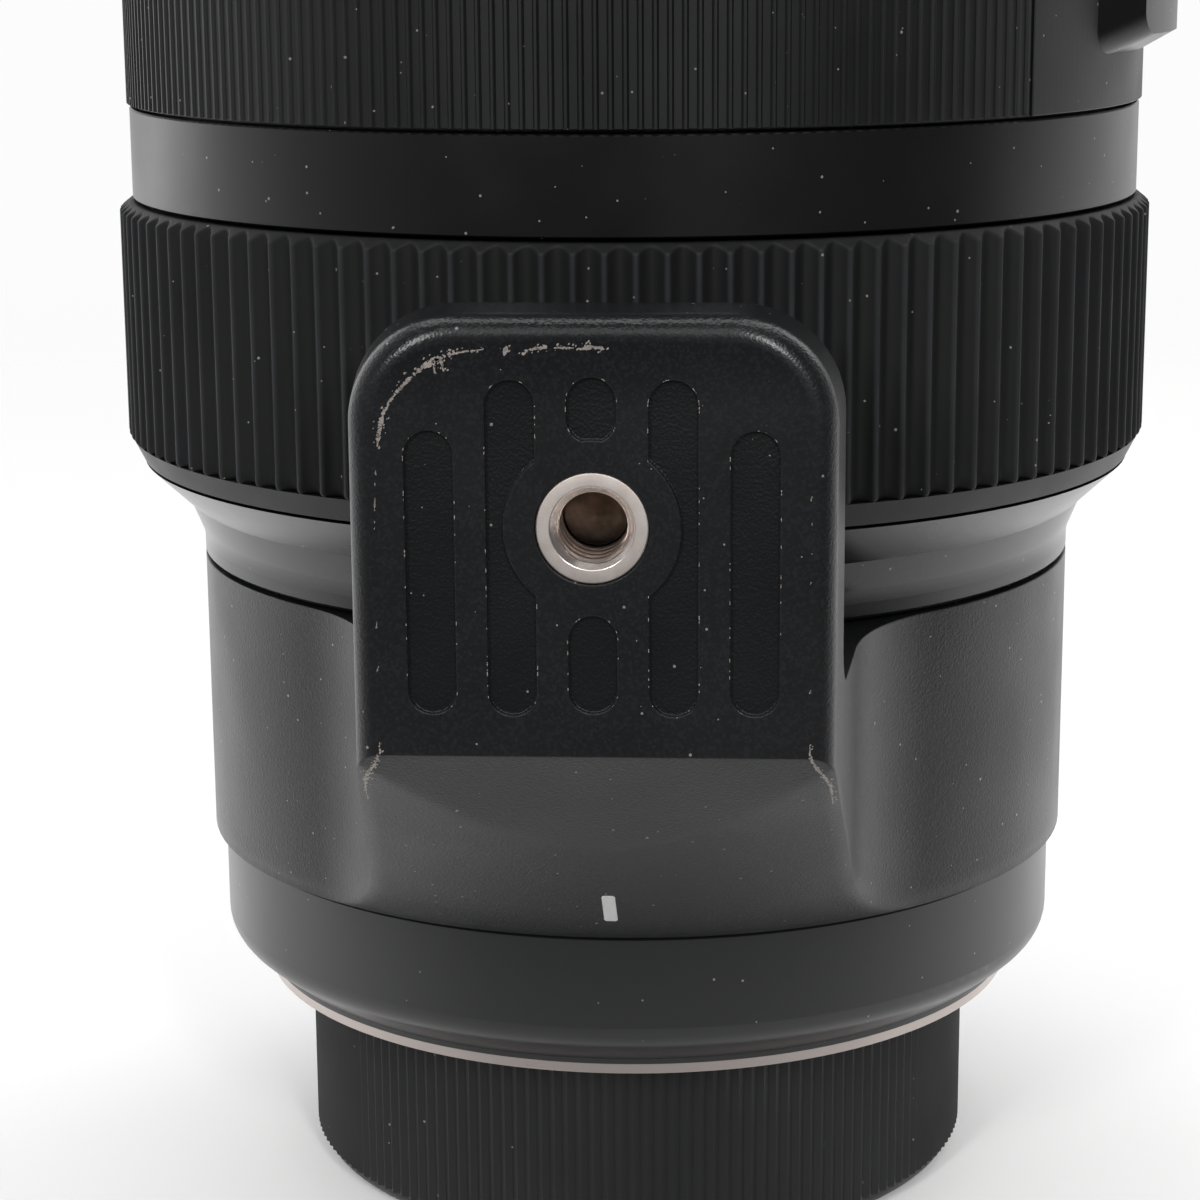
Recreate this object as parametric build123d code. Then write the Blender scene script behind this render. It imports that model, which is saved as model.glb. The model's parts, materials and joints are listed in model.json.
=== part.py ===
from build123d import *
from math import atan2, cos, degrees, pi, radians, sin, sqrt, tan
import os

# A fast camera zoom lens that stands on its rear cap, with a tripod collar that turns round it.
# Lengths are in millimetres. The optical axis is +Z, the foot points to -Y and the switch is
# on the +X side. Azimuths are in degrees, counted from the foot towards the switch side.

# Clearances
running_fit = 0.05  # radial clearance where a piece turns or slides on another
seat_fit = 0.05  # radial clearance where a piece is fixed in or on another
seam = 0.3  # gap between a turning ring and its fixed neighbours
slot_play = 0.15  # gap on each side of what slides in a slot
overrun = 1.0  # how far a cutting shape runs past what it cuts
edge_break = 0.3  # bevel on the edges of turned rings

# Bayonet tube, from which all the barrels are stepped outwards
bayonet_r = 25.6
bayonet_wall = 2.8

# Barrels, from the inside out
guide_step = 8.4
guide_wall = 1.6
cam_wall = 1.95
cam_gap = 0.5
outer_wall = 3.8
ring_wall = 2.85
rubber_wall = 1.9
guide_bore_r = bayonet_r + guide_step
guide_r = guide_bore_r + guide_wall
cell_r = guide_bore_r - running_fit
cam_bore_r = guide_r + running_fit
cam_r = cam_bore_r + cam_wall
outer_bore_r = cam_r + cam_gap
ring_journal_r = outer_bore_r + outer_wall  # both grip rings turn on this
ring_bore_r = ring_journal_r + running_fit
grip_core_r = ring_bore_r + ring_wall
grip_bore_r = grip_core_r + seat_fit
grip_r = grip_bore_r + rubber_wall

# Rings that show beside the grips
rim_set_back = 0.25
rim_slope = 1.0
cone_set_back = 0.1
rim_r = grip_r - rim_set_back
rim_low_r = rim_r - rim_slope
cone_r = rim_low_r - cone_set_back

# Rear casting and what turns on it
rear_bore_step = 0.5  # the rear casting's bore is this much wider than the guide barrel's
ledge_width = 1.9
spigot_wall = 1.1
journal_step = 1.0
collar_wall = 3.55
rear_barrel_set_back = 1.0
rear_bore_r = guide_bore_r + rear_bore_step
low_bore_r = rear_bore_r - ledge_width
spigot_r = rear_bore_r + spigot_wall  # the neck is seated on this
journal_r = spigot_r + journal_step  # the collar turns on this
collar_bore_r = journal_r + running_fit
collar_r = collar_bore_r + collar_wall
rear_barrel_r = collar_r - rear_barrel_set_back

# Heights of the rings that show, from the cap upwards
cap_height = 18.55
flange_rim = 0.9
rear_barrel_height = 12.75
collar_height = 25.8
neck_height = 5.2
cone_height = 3.7
zoom_rim_height = 2.0
zoom_grip_height = 21.1
band_height = 8.0
band_groove = 0.25
sleeve_height = 26.5
focus_rim_height = 1.6
focus_grip_height = 31.0
focus_top_rim_height = 1.0
front_barrel_height = 29.1
flange_z = cap_height
barrel_z = flange_z + flange_rim
barrel_top_z = barrel_z + rear_barrel_height
collar_z = barrel_top_z + seam
collar_top_z = collar_z + collar_height
neck_z = collar_top_z + seam
cone_z = neck_z + neck_height
cone_top_z = cone_z + cone_height
zoom_z = cone_top_z + seam
zoom_grip_z = zoom_z + zoom_rim_height
zoom_top_z = zoom_grip_z + zoom_grip_height
band_z = zoom_top_z + seam
band_top_z = band_z + band_height
sleeve_z = band_top_z + band_groove
sleeve_top_z = sleeve_z + sleeve_height
focus_z = sleeve_top_z + seam
focus_grip_z = focus_z + focus_rim_height
focus_grip_top_z = focus_grip_z + focus_grip_height
focus_top_z = focus_grip_top_z + focus_top_rim_height
front_z = focus_top_z + seam
front_top_z = front_z + front_barrel_height

# Mount flange and the bayonet's lugs
bayonet_length = 5.4
bayonet_lug_proud = 1.6
bayonet_lug_height = 1.6
bayonet_lug_span = 54
bayonet_lug_azimuths = (30, 150, 270)
flange_overhang = 4.06  # how far the flange reaches past the cap
flange_height = 2.95
flange_step = 3.46
boss_height = 4.0
boss_set_back = 1.4
bolt_reach = 2.0  # from the bayonet's outside to the middle of a bolt
bolt_r = 0.9
bolt_head_r = 1.45
bolt_head_height = 0.9
bolt_floor = 0.75
bolt_azimuths = (20, 110, 200, 290)
bayonet_bore_r = bayonet_r - bayonet_wall
bayonet_lug_r = bayonet_r + bayonet_lug_proud
boss_bore_r = bayonet_bore_r + boss_set_back
boss_z = flange_z + flange_height
boss_top_z = boss_z + boss_height
bolt_circle_r = bayonet_r + bolt_reach

# Rear cap
cap_play = 2.3  # from the bayonet's lugs to the cap's wall
cap_wall = 1.9
cap_floor = 2.2
cap_rib_count = 168
cap_rib_depth = 0.3
cap_rib_shares = ((0.0, 1), (0.5, 0))  # share of the pitch, share of the depth
cap_foot_step = 0.1  # the foot's rim lies this much inside the roots of the ribs
cap_rounding = 1.5
cap_lug_reach = 3.0
cap_lug_height = 1.8
cap_lug_drop = 1.2
cap_lug_span = 44
cap_lug_azimuths = (90, 210, 330)
cap_bore_r = bayonet_lug_r + cap_play
cap_r = cap_bore_r + cap_wall
flange_r = cap_r + flange_overhang
flange_step_r = flange_r - flange_step

# Rear casting's foot, which shows as a rounded bevel over the flange
barrel_foot_proud = 0.14
barrel_foot_height = 0.45
barrel_bevel_height = 2.9
barrel_bevel_rounding = 2.6
barrel_foot_r = flange_r + barrel_foot_proud

# Contact block in the bayonet and its contacts
contact_azimuth = 0
contact_block_span = 62
contact_block_wall = 2.0
contact_block_lift = 0.5
contact_count = 8
contact_pitch = 6.6  # degrees from one contact to the next
contact_r = 0.75
contact_proud = 0.25
contact_length = 3.0
contact_block_r = bayonet_bore_r - seat_fit
contact_block_z = flange_z - bayonet_length + contact_block_lift

# Rear lens group and its baffle
rear_tube_gap = 0.5
rear_tube_wall = 1.6
rear_tube_drop = 2.6
rear_ledge_lift = 3.5  # from the collar's foot up to the ledge inside the casting
rear_flange_height = 2.0
rear_glass_edge = 4.5
rear_glass_bulge = 2.2
cell_lip = 1.2
cell_lip_height = 1.0
baffle_height = 1.2
baffle_window = 17.2
rear_tube_r = contact_block_r - contact_block_wall - rear_tube_gap
rear_glass_r = rear_tube_r - rear_tube_wall - seat_fit
rear_tube_z = flange_z - rear_tube_drop
rear_ledge_z = collar_z + rear_ledge_lift

# Circuit board
board_height = 1.2
board_gap = 0.6
chip_height = 1.0
chip_length = 6.0
chip_width = 4.0
chip_azimuths = (60, 150, 240, 320)

# Iris
iris_height = 7.2
iris_wall = 1.1
iris_floor = 1.0
iris_ring_height = 0.8
iris_ring_lift = 0.3
iris_ring_width = 9.3
iris_cover_height = 1.0
iris_cover_step = 0.5
blade_count = 9
blade_width = 7.0
blade_height = 0.12
blade_pitch_z = 0.3  # each blade lies this far above the one before
blade_lift = 0.5
blade_start = -5
blade_span = 85
blade_swing = 34.0
iris_turn = 24.0
pivot_inset = 4.35
pivot_reach = 9.5  # from a blade's inner edge to its pivot
blade_set_back = 0.7
blade_lever = 4.5
blade_pin_r = 0.6
blade_ear_r = 1.4
pin_play = 0.2
iris_z = rear_ledge_z + rear_flange_height
iris_top_z = iris_z + iris_height
iris_ring_z = iris_z + iris_floor + iris_ring_lift
iris_ring_top_z = iris_ring_z + iris_ring_height
iris_cover_z = iris_top_z - iris_cover_height
iris_r = rear_bore_r - seat_fit
iris_bore_r = iris_r - iris_wall
iris_ring_r = iris_bore_r - running_fit
blade_pivot_r = iris_bore_r - pivot_inset
blade_inner_r = blade_pivot_r - pivot_reach
iris_open_r = blade_inner_r + blade_set_back
blade_lever_angle = degrees(blade_lever / blade_pivot_r)

# Neck, and the flange of the guide barrel inside it
neck_flange_height = 2.5
neck_fillet = 3.2
neck_step = 1.3
neck_wall = 2.0
spigot_step = 0.8
guide_flange_height = 2.0
neck_r = collar_r + neck_step
outer_spigot_r = outer_bore_r + spigot_step
neck_flange_z = neck_z + neck_flange_height
guide_flange_z = neck_flange_z + guide_flange_height

# Zoom mechanism
cam_end_gap = 0.4
cam_end_wall = 5.85
zoom_turn = 70.0
roller_r = 2.0
roller_seat = 2.4
rear_zoom_lift = 5.0
rear_zoom_travel = 13.0
rear_zoom_length = 10.0
rear_zoom_wall = 6.95
rear_zoom_azimuths = (30, 150, 270)
front_zoom_lift = 30.0
front_zoom_travel = 22.0
front_zoom_length = 12.0
front_zoom_wall = 5.45
front_zoom_azimuths = (90, 210, 330)
zoom_glass_edge = 5.0
zoom_glass_bulge = 2.4
key_r = 1.5
key_azimuth = 180
key_inset = 0.6
key_seat = 1.65
zoom_key_drop = 3.4  # from the zoom ring's top down to its key
zoom_cam_z = guide_flange_z + cam_end_gap
rear_zoom_z = zoom_cam_z + rear_zoom_lift
front_zoom_z = zoom_cam_z + front_zoom_lift
zoom_cam_top_z = front_zoom_z + front_zoom_travel + roller_r + slot_play + cam_end_wall
zoom_key_z = zoom_top_z - zoom_key_drop
key_in_r = guide_r + key_inset
key_out_r = ring_bore_r + key_seat

# Focus mechanism
motor_gap = 1.1
motor_height = 3.6
motor_rim_height = 0.8  # the rim that is seated in the outer barrel
focus_turn = 110.0
focus_roller_r = 1.5
focus_lift = 9.9
focus_travel = 6.0
focus_group_length = 13.0
focus_wall = 4.95
focus_azimuths = (30, 150, 270)
focus_key_drop = 8.0
focus_cam_end = 1.75
guide_end = 1.9
motor_z = zoom_cam_top_z + motor_gap
focus_cam_z = motor_z + motor_height + cam_end_gap
focus_group_z = focus_cam_z + focus_lift
focus_key_z = focus_top_z - focus_key_drop
focus_cam_top_z = focus_key_z + key_r + focus_cam_end
guide_top_z = focus_cam_top_z + guide_end

# Grip rubbers
flute_count = 120
flute_depth = 0.75
flute_shares = ((0.0, 1), (0.14, 1), (0.36, 0.25), (0.57, 0), (0.78, 0.25))  # of pitch and depth
flute_middle_share = 0.57
grip_bevel = 1.0

# Band, sleeve, window and scale
scale_gap = 0.5
scale_wall = 0.6
scale_clearance = 0.6
scale_seat = 0.8
scale_overlap = 2.0
shell_wall = 1.95
band_flange_height = 2.4
sleeve_flange_height = 2.2
window_azimuth = 180
window_span = 32
window_lift = 8.05
window_height = 10.0
window_wall = 1.5
window_step = 0.1
scale_bore_r = ring_journal_r + scale_gap
scale_r = scale_bore_r + scale_wall
shell_bore_r = scale_r + scale_clearance
shell_seat_r = ring_journal_r + seat_fit
band_r = shell_bore_r + shell_wall
window_z = sleeve_z + window_lift
scale_z = window_z - scale_overlap

# Switch block and its knob
switch_azimuth = 78
switch_half_span = 18.5
switch_lift = 4.35
switch_height = 18.0
switch_proud = 3.0
switch_corner = 3.0
switch_side_slope = 4.5  # degrees of azimuth taken by each sloping side
switch_end_slope = 1.7
slot_width = 5.0
slot_height = 9.0
slot_depth = 1.7
knob_travel = 3.0
knob_proud = 0.9
knob_ridge = 0.45
knob_ridge_pitch = 1.2
knob_ridge_count = 4
switch_z = sleeve_z + switch_lift
switch_middle_z = switch_z + switch_height / 2
switch_foot_r = band_r + seat_fit
switch_top_r = switch_foot_r + switch_proud

# Front barrel, front glass and rings
front_flange_height = 2.5
front_wall = 3.2
hood_neck_depth = 1.25
hood_neck_height = 7.0
hood_lug_height = 1.8
hood_lug_span = 36
hood_lug_azimuths = (0, 120, 240)
filter_ring_set_back = 0.55
filter_ring_height = 6.2
filter_ring_deep = 9.0
filter_wall = 4.3
filter_thread_length = 5.0
filter_step = 0.8
front_cell_wall = 5.75
front_cell_lip = 1.5
front_lip_share = 0.135  # of the front cell's height, as the next two
front_glass_share = 0.54
retainer_share = 0.2
front_glass_bulge = 4.2
retainer_width = 0.9
front_barrel_r = band_r
front_bore_r = front_barrel_r - front_wall
front_seat_r = front_bore_r - seat_fit
hood_neck_r = front_barrel_r - hood_neck_depth
filter_ring_r = front_barrel_r - filter_ring_set_back
filter_thread_r = filter_ring_r - filter_wall
filter_ring_z = front_top_z - filter_ring_height
filter_cone_z = filter_ring_z - filter_ring_deep
hood_neck_z = filter_ring_z - hood_neck_height
front_cell_z = front_z + front_flange_height
front_cell_top_z = filter_cone_z - seam
front_cell_height = front_cell_top_z - front_cell_z
front_glass_z = front_cell_z + front_cell_height * front_lip_share
front_glass_edge = front_cell_height * front_glass_share
retainer_height = front_cell_height * retainer_share
front_glass_r = front_seat_r - front_cell_wall - seat_fit
retainer_bore_r = front_glass_r - retainer_width

# Tripod collar and foot
finger_room = 9.65  # between the zoom ring and the foot's back
foot_plate_depth = 7.6
foot_rise = 29.4  # from the collar's top to the foot's
foot_drop = 3.3  # from the collar's top to the edge where the foot's face meets the ramp
foot_half_width = 17.7
foot_draft = 5.71  # degrees
foot_corner = 8.0
foot_side_round = 1.9
foot_heel_round = 3.6
cove_azimuth = 41.0  # where the foot's coves run out on the collar
ramp_cone_slope = 0.85
ramp_plane_slope = 1.1
foot_reach = grip_r + finger_room + foot_plate_depth
foot_edge_z = collar_top_z - foot_drop
foot_top_z = collar_top_z + foot_rise

# Tripod bush and the recesses round it, as heights from the bush's middle
bush_lift = 17.2
bush_r = 4.15
bush_bore_r = 2.54
bush_length = 6.4
bush_bevel = 0.9
bush_recess = 0.1
pad_width = 3.6
pad_depth = 0.4
pad_pitch = 5.93
pad_boss_r = 6.5
outer_pad_low = -14.0
outer_pad_high = 7.2
inner_pad_low = -14.1
inner_pad_high = 10.9
upper_pad_low = 6.3
upper_pad_high = 11.1
lower_pad_low = -13.9
lower_pad_high = -6.5
bush_z = foot_edge_z + bush_lift
bush_start = foot_reach - bush_recess - bush_length

# Lock screw and knob of the collar
lock_azimuth = 150
lock_boss_r = 6.5
lock_boss_proud = 4.6
lock_screw_r = 2.0
lock_screw_tip = 0.35
knob_r = 8.0
knob_height = 8.6
knob_gap = 0.3
knob_lobe_count = 12
knob_lobe_r = 1.1
knob_bevel = 0.8
knob_seat = 5.0
lock_z = collar_z + collar_height / 2
lock_boss_end = collar_r + lock_boss_proud
knob_start = lock_boss_end + knob_gap


def turned(*corners, rounds=()):
    """A solid of revolution about the optical axis, from (radius, height) corners."""
    section = make_face(Polyline(*corners, close=True).edges())
    for place, size in rounds:
        corner = section.vertices().sort_by_distance(place)[0]
        section = fillet(corner, size)
    return revolve(Plane.XZ * section, Axis.Z)


def ring(inner, outer, low, high):
    """A plain ring on the optical axis."""
    return turned((inner, low), (outer, low), (outer, high), (inner, high))


def sector(inner, outer, low, high, middle, span):
    """A stretch of a ring, centred on an azimuth."""
    corners = ((inner, low), (outer, low), (outer, high), (inner, high))
    section = Plane.XZ * make_face(Polyline(*corners, close=True).edges())
    return Rot(0, 0, middle - span / 2 - 90) * revolve(section, Axis.Z, span)


def reach_of(point):
    """How far a point lies from the optical axis."""
    return sqrt(point.X ** 2 + point.Y ** 2)


def outward(azimuth, reach=0, height=0):
    """A plane at an azimuth and reach that faces away from the optical axis."""
    turn = radians(azimuth)
    out = Vector(sin(turn), -cos(turn), 0)
    return Plane(origin=out * reach + Vector(0, 0, height), x_dir=(cos(turn), sin(turn), 0), z_dir=out)


def standing(radius, height):
    """A cylinder that stands on its origin."""
    return Cylinder(radius, height, align=(Align.CENTER, Align.CENTER, Align.MIN))


def radial_pin(radius, start, end, height, azimuth):
    """A round pin along a radius, from one reach to another."""
    return outward(azimuth, start, height) * standing(radius, end - start)


def toothed_face(crest, depth, count, shares):
    """A face whose rim runs between a crest and a root radius, count times round."""
    corners = []
    for tooth in range(count):
        for pitch_share, height_share in shares:
            turn = 2 * pi * (tooth + pitch_share) / count
            reach = crest - depth * (1 - height_share)
            corners.append((reach * cos(turn), reach * sin(turn)))
    return make_face(Polyline(*corners, close=True).edges())


def meniscus(radius, low, edge, bulge):
    """A lens element on the optical axis: domed above, and half as much hollowed below."""
    high = low + edge
    hollow = low + bulge / 2
    low_face = TangentArc((0, hollow), (radius, low), tangent=(1, 0))
    high_face = TangentArc((0, high + bulge), (radius, high), tangent=(1, 0))
    rim = Line((radius, low), (radius, high))
    axis = Line((0, high + bulge), (0, hollow))
    section = make_face([low_face.edge(), rim.edge(), high_face.edge(), axis.edge()])
    return revolve(Plane.XZ * section, Axis.Z)


def helical_slot(radius, width, depth, low, travel, turn, azimuth):
    """The cuts of a roller that climbs while the barrel turns under it: a helix and its round ends."""
    path = Helix(travel * 360 / turn, travel, radius, lefthand=True)
    section = Plane(origin=path @ 0, x_dir=(1, 0, 0), z_dir=path % 0) * Rectangle(depth, width)
    cuts = [Pos(0, 0, low) * Rot(0, 0, azimuth - 90) * sweep(section, path, is_frenet=True)]
    reach = (radius - depth / 2, radius + depth / 2)
    for climb, place in ((0, azimuth), (travel, azimuth - turn)):
        cuts.append(radial_pin(width / 2, *reach, low + climb, place))
    return cuts


def straight_slot(radius, inner, outer, low, travel, azimuth):
    """A guide slot along the optical axis with round ends."""
    width = 2 * (radius + running_fit)
    slot = outward(azimuth, inner, low + travel / 2) * SlotCenterToCenter(travel, width, rotation=90)
    return extrude(slot, outer - inner)


def rollers(radius, height, azimuths):
    """The rollers of one group: each runs in its guide slot and its cam slot."""
    reach = (cell_r - roller_seat, cam_r - running_fit)
    return Compound([radial_pin(radius, *reach, height, azimuth) for azimuth in azimuths])


def lens_cell(middle, length, wall, radius, azimuths):
    """A sliding cell with a lip under its glass and blind holes for its rollers."""
    low = middle - length / 2
    high = middle + length / 2
    bore_r = cell_r - wall
    cell = turned(
        (bore_r - cell_lip, low),
        (cell_r, low),
        (cell_r, high),
        (bore_r, high),
        (bore_r, low + cell_lip_height),
        (bore_r - cell_lip, low + cell_lip_height),
    )
    for azimuth in azimuths:
        cell -= radial_pin(radius + seat_fit, cell_r - roller_seat, cell_r + overrun, middle, azimuth)
    return cell


def cell_glass(middle, length, wall):
    """The glass of a sliding cell, which rests on the cell's lip."""
    low = middle - length / 2 + cell_lip_height
    return meniscus(cell_r - wall - seat_fit, low, zoom_glass_edge, zoom_glass_bulge)


def rear_cap():
    """A ribbed cup with a rounded foot and three lugs that lie between those of the bayonet."""
    foot_r = cap_r - cap_rib_depth - cap_foot_step
    foot = turned(
        (0, 0),
        (foot_r, 0),
        (foot_r, cap_rounding + overrun),
        (0, cap_rounding + overrun),
        rounds=(((foot_r, 0), cap_rounding),),
    )
    ribs = toothed_face(cap_r, cap_rib_depth, cap_rib_count, cap_rib_shares)
    cap = foot + Pos(0, 0, cap_rounding) * extrude(ribs, cap_height - cap_rounding)
    cap -= ring(0, cap_bore_r, cap_floor, cap_height + overrun)
    lug_top = cap_height - cap_lug_drop
    for azimuth in cap_lug_azimuths:
        reach = (cap_bore_r - cap_lug_reach, cap_bore_r + cap_wall / 2)
        cap += sector(*reach, lug_top - cap_lug_height, lug_top, azimuth, cap_lug_span)
    return cap


def flange_bolts(extra=0):
    """The countersunk bolts that hold the mount, or their holes where extra is added all round."""
    length = flange_height + boss_height - bolt_floor + extra
    bolt = turned(
        (0, 0),
        (bolt_head_r + extra, 0),
        (bolt_r + extra, bolt_head_height),
        (bolt_r + extra, length),
        (0, length),
    )
    places = [outward(azimuth, bolt_circle_r, flange_z).origin for azimuth in bolt_azimuths]
    return [Pos(*place) * bolt for place in places]


def mount_flange():
    """The metal flange with its bayonet tube and three lugs."""
    low = flange_z - bayonet_length
    flange = turned(
        (bayonet_bore_r, low),
        (bayonet_r, low),
        (bayonet_r, flange_z),
        (flange_r, flange_z),
        (flange_r, barrel_z),
        (flange_step_r, barrel_z),
        (flange_step_r, boss_z),
        (bayonet_bore_r, boss_z),
    )
    for azimuth in bayonet_lug_azimuths:
        reach = (bayonet_r - bayonet_wall / 2, bayonet_lug_r)
        flange += sector(*reach, low, low + bayonet_lug_height, azimuth, bayonet_lug_span)
    for hole in flange_bolts(seat_fit):
        flange -= hole
    return flange


def contact_pins(radius):
    """The spring contacts along the block's middle, or their holes where the radius is wider."""
    reach = contact_block_r - contact_block_wall / 2
    pins = []
    for index in range(contact_count):
        azimuth = contact_azimuth + (index - (contact_count - 1) / 2) * contact_pitch
        place = outward(azimuth, reach, contact_block_z - contact_proud).origin
        pins.append(Pos(*place) * standing(radius, contact_length))
    return pins


def contact_block():
    """A curved plastic block inside the bayonet tube, with a hole for each contact."""
    reach = (contact_block_r - contact_block_wall, contact_block_r)
    block = sector(*reach, contact_block_z, barrel_z, contact_azimuth, contact_block_span)
    for pin in contact_pins(contact_r + seat_fit):
        block -= pin
    return block


def rear_barrel():
    """The rear casting: a bolting face, a ledge for the rear group and the collar's journal."""
    bevel_z = barrel_z + barrel_foot_height
    bevel_top_z = bevel_z + barrel_bevel_height
    spigot_top_z = neck_flange_z - running_fit
    barrel = turned(
        (flange_step_r + seat_fit, barrel_z),
        (barrel_foot_r, barrel_z),
        (barrel_foot_r, bevel_z),
        (rear_barrel_r, bevel_top_z),
        (rear_barrel_r, barrel_top_z - edge_break),
        (rear_barrel_r - edge_break, barrel_top_z),
        (journal_r, barrel_top_z),
        (journal_r, neck_z),
        (spigot_r, neck_z),
        (spigot_r, spigot_top_z),
        (rear_bore_r, spigot_top_z),
        (rear_bore_r, rear_ledge_z),
        (low_bore_r, rear_ledge_z),
        (low_bore_r, boss_top_z),
        (boss_bore_r, boss_top_z),
        (boss_bore_r, boss_z),
        (flange_step_r + seat_fit, boss_z),
        rounds=(((rear_barrel_r, bevel_top_z), barrel_bevel_rounding),),
    )
    for hole in flange_bolts(seat_fit):
        barrel -= hole
    return barrel


def circuit_board():
    """A ring-shaped board on the rear casting's inner flange, with its chips on top."""
    inner = boss_bore_r + board_gap
    outer = low_bore_r - board_gap
    board = ring(inner, outer, boss_top_z, boss_top_z + board_height)
    chip = Box(chip_length, chip_width, chip_height, align=(Align.CENTER, Align.CENTER, Align.MIN))
    for azimuth in chip_azimuths:
        place = outward(azimuth, (inner + outer) / 2, boss_top_z + board_height).origin
        board += Pos(*place) * Rot(0, 0, azimuth) * chip
    return board


def rear_cell():
    """The rear group's tube, which hangs from a flange on the casting's ledge."""
    return turned(
        (rear_glass_r - cell_lip, rear_tube_z),
        (rear_tube_r, rear_tube_z),
        (rear_tube_r, rear_ledge_z),
        (rear_bore_r - seat_fit, rear_ledge_z),
        (rear_bore_r - seat_fit, iris_z),
        (rear_glass_r + seat_fit, iris_z),
        (rear_glass_r + seat_fit, rear_tube_z + cell_lip_height),
        (rear_glass_r - cell_lip, rear_tube_z + cell_lip_height),
    )


def rear_baffle():
    """The dark mask with a square window that frames the light behind the rear glass."""
    mask = ring(0, rear_tube_r, rear_tube_z - baffle_height, rear_tube_z)
    opening = Pos(0, 0, rear_tube_z) * Rectangle(baffle_window, baffle_window)
    return mask - extrude(opening, baffle_height, both=True)


def iris_housing():
    """A flat cup that holds the iris ring, with a step for the cover."""
    return turned(
        (iris_open_r, iris_z),
        (iris_r, iris_z),
        (iris_r, iris_top_z),
        (iris_bore_r + iris_cover_step, iris_top_z),
        (iris_bore_r + iris_cover_step, iris_cover_z),
        (iris_bore_r, iris_cover_z),
        (iris_bore_r, iris_z + iris_floor),
        (iris_open_r, iris_z + iris_floor),
    )


def iris_cover():
    """The plate over the blades, with the holes that their pivots turn in."""
    cover = ring(iris_open_r, iris_bore_r + iris_cover_step - seat_fit, iris_cover_z, iris_top_z)
    hole = Pos(blade_pivot_r, 0, iris_cover_z) * standing(blade_pin_r + running_fit, iris_cover_height)
    for index in range(blade_count):
        cover -= Rot(0, 0, index * 360 / blade_count) * hole
    return cover


def driven_pin(turn):
    """Where a blade's drive pin lies, seen from the iris ring after the ring has turned."""
    pivot = Vector(blade_pivot_r, 0, 0)
    pin = pivot.rotate(Axis.Z, -blade_lever_angle)
    swung = pivot + (pin - pivot).rotate(Axis.Z, turn * blade_swing / iris_turn)
    return swung.rotate(Axis.Z, -turn)


def iris_ring():
    """The ring that drives the blades. Each slot is the path that its drive pin takes in it."""
    path = ThreePointArc(driven_pin(0), driven_pin(iris_turn / 2), driven_pin(iris_turn))
    slot = SlotArc(path, 2 * (blade_pin_r + pin_play))
    outline = Circle(iris_ring_r) - Circle(iris_ring_r - iris_ring_width)
    for index in range(blade_count):
        outline -= Rot(0, 0, index * 360 / blade_count) * slot
    return Pos(0, 0, iris_ring_z) * extrude(outline, iris_ring_height)


def bar(start, end, width):
    """A flat bar with round ends from one point to another."""
    run = end - start
    middle = (start + end) / 2
    turn = degrees(atan2(run.Y, run.X))
    return Pos(middle.X, middle.Y) * SlotCenterToCenter(run.length, width, rotation=turn)


def iris_blade(index):
    """A thin curved leaf with its pivot pin above and its drive pin below."""
    outer_r = blade_inner_r + blade_width
    inner = CenterArc((0, 0), blade_inner_r, blade_start, blade_span)
    outer = CenterArc((0, 0), outer_r, blade_start, blade_span)
    ends = [Line(inner @ 0, outer @ 0).edge(), Line(inner @ 1, outer @ 1).edge()]
    leaf = make_face([inner.edge(), outer.edge(), *ends])
    pivot = Vector(blade_pivot_r, 0, 0)
    pin = pivot.rotate(Axis.Z, -blade_lever_angle)
    leaf += bar(Vector(outer_r - blade_ear_r, 0, 0), pivot, 2 * blade_ear_r)
    leaf += bar(pivot, pin, 2 * blade_ear_r)
    low = iris_ring_top_z + blade_lift + index * blade_pitch_z
    pivot_top = iris_cover_z + iris_cover_height / 2
    pin_foot = iris_ring_z + iris_ring_height / 4
    blade = Pos(0, 0, low) * extrude(leaf, blade_height)
    blade += Pos(pivot.X, pivot.Y, low) * standing(blade_pin_r, pivot_top - low)
    blade += Pos(pin.X, pin.Y, pin_foot) * standing(blade_pin_r, low + blade_height - pin_foot)
    return Rot(0, 0, index * 360 / blade_count) * blade


def neck_shell():
    """The fixed shell above the collar: a neck that sweeps out into a cone."""
    bore_r = outer_spigot_r + seat_fit
    sweep_z = cone_z - neck_fillet
    return turned(
        (spigot_r + seat_fit, neck_z),
        (collar_r - edge_break, neck_z),
        (collar_r, neck_z + edge_break),
        (collar_r, sweep_z),
        (neck_r, cone_z),
        (cone_r, cone_top_z),
        (cone_r - neck_wall, cone_top_z),
        (bore_r, cone_z),
        (bore_r, neck_flange_z),
        (spigot_r + seat_fit, neck_flange_z),
        rounds=(((collar_r, sweep_z), neck_fillet),),
    )


def guide_barrel():
    """The fixed inner tube with a straight guide slot for every roller."""
    barrel = turned(
        (guide_bore_r, neck_flange_z),
        (outer_bore_r - seat_fit, neck_flange_z),
        (outer_bore_r - seat_fit, guide_flange_z),
        (guide_r, guide_flange_z),
        (guide_r, guide_top_z),
        (guide_bore_r, guide_top_z),
    )
    reach = (guide_bore_r - overrun, guide_r + overrun)
    for radius, low, travel, azimuths in (
        (roller_r, rear_zoom_z, rear_zoom_travel, rear_zoom_azimuths),
        (roller_r, front_zoom_z, front_zoom_travel, front_zoom_azimuths),
        (focus_roller_r, focus_group_z, focus_travel, focus_azimuths),
    ):
        for azimuth in azimuths:
            barrel -= straight_slot(radius, *reach, low, travel, azimuth)
    return barrel


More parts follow.
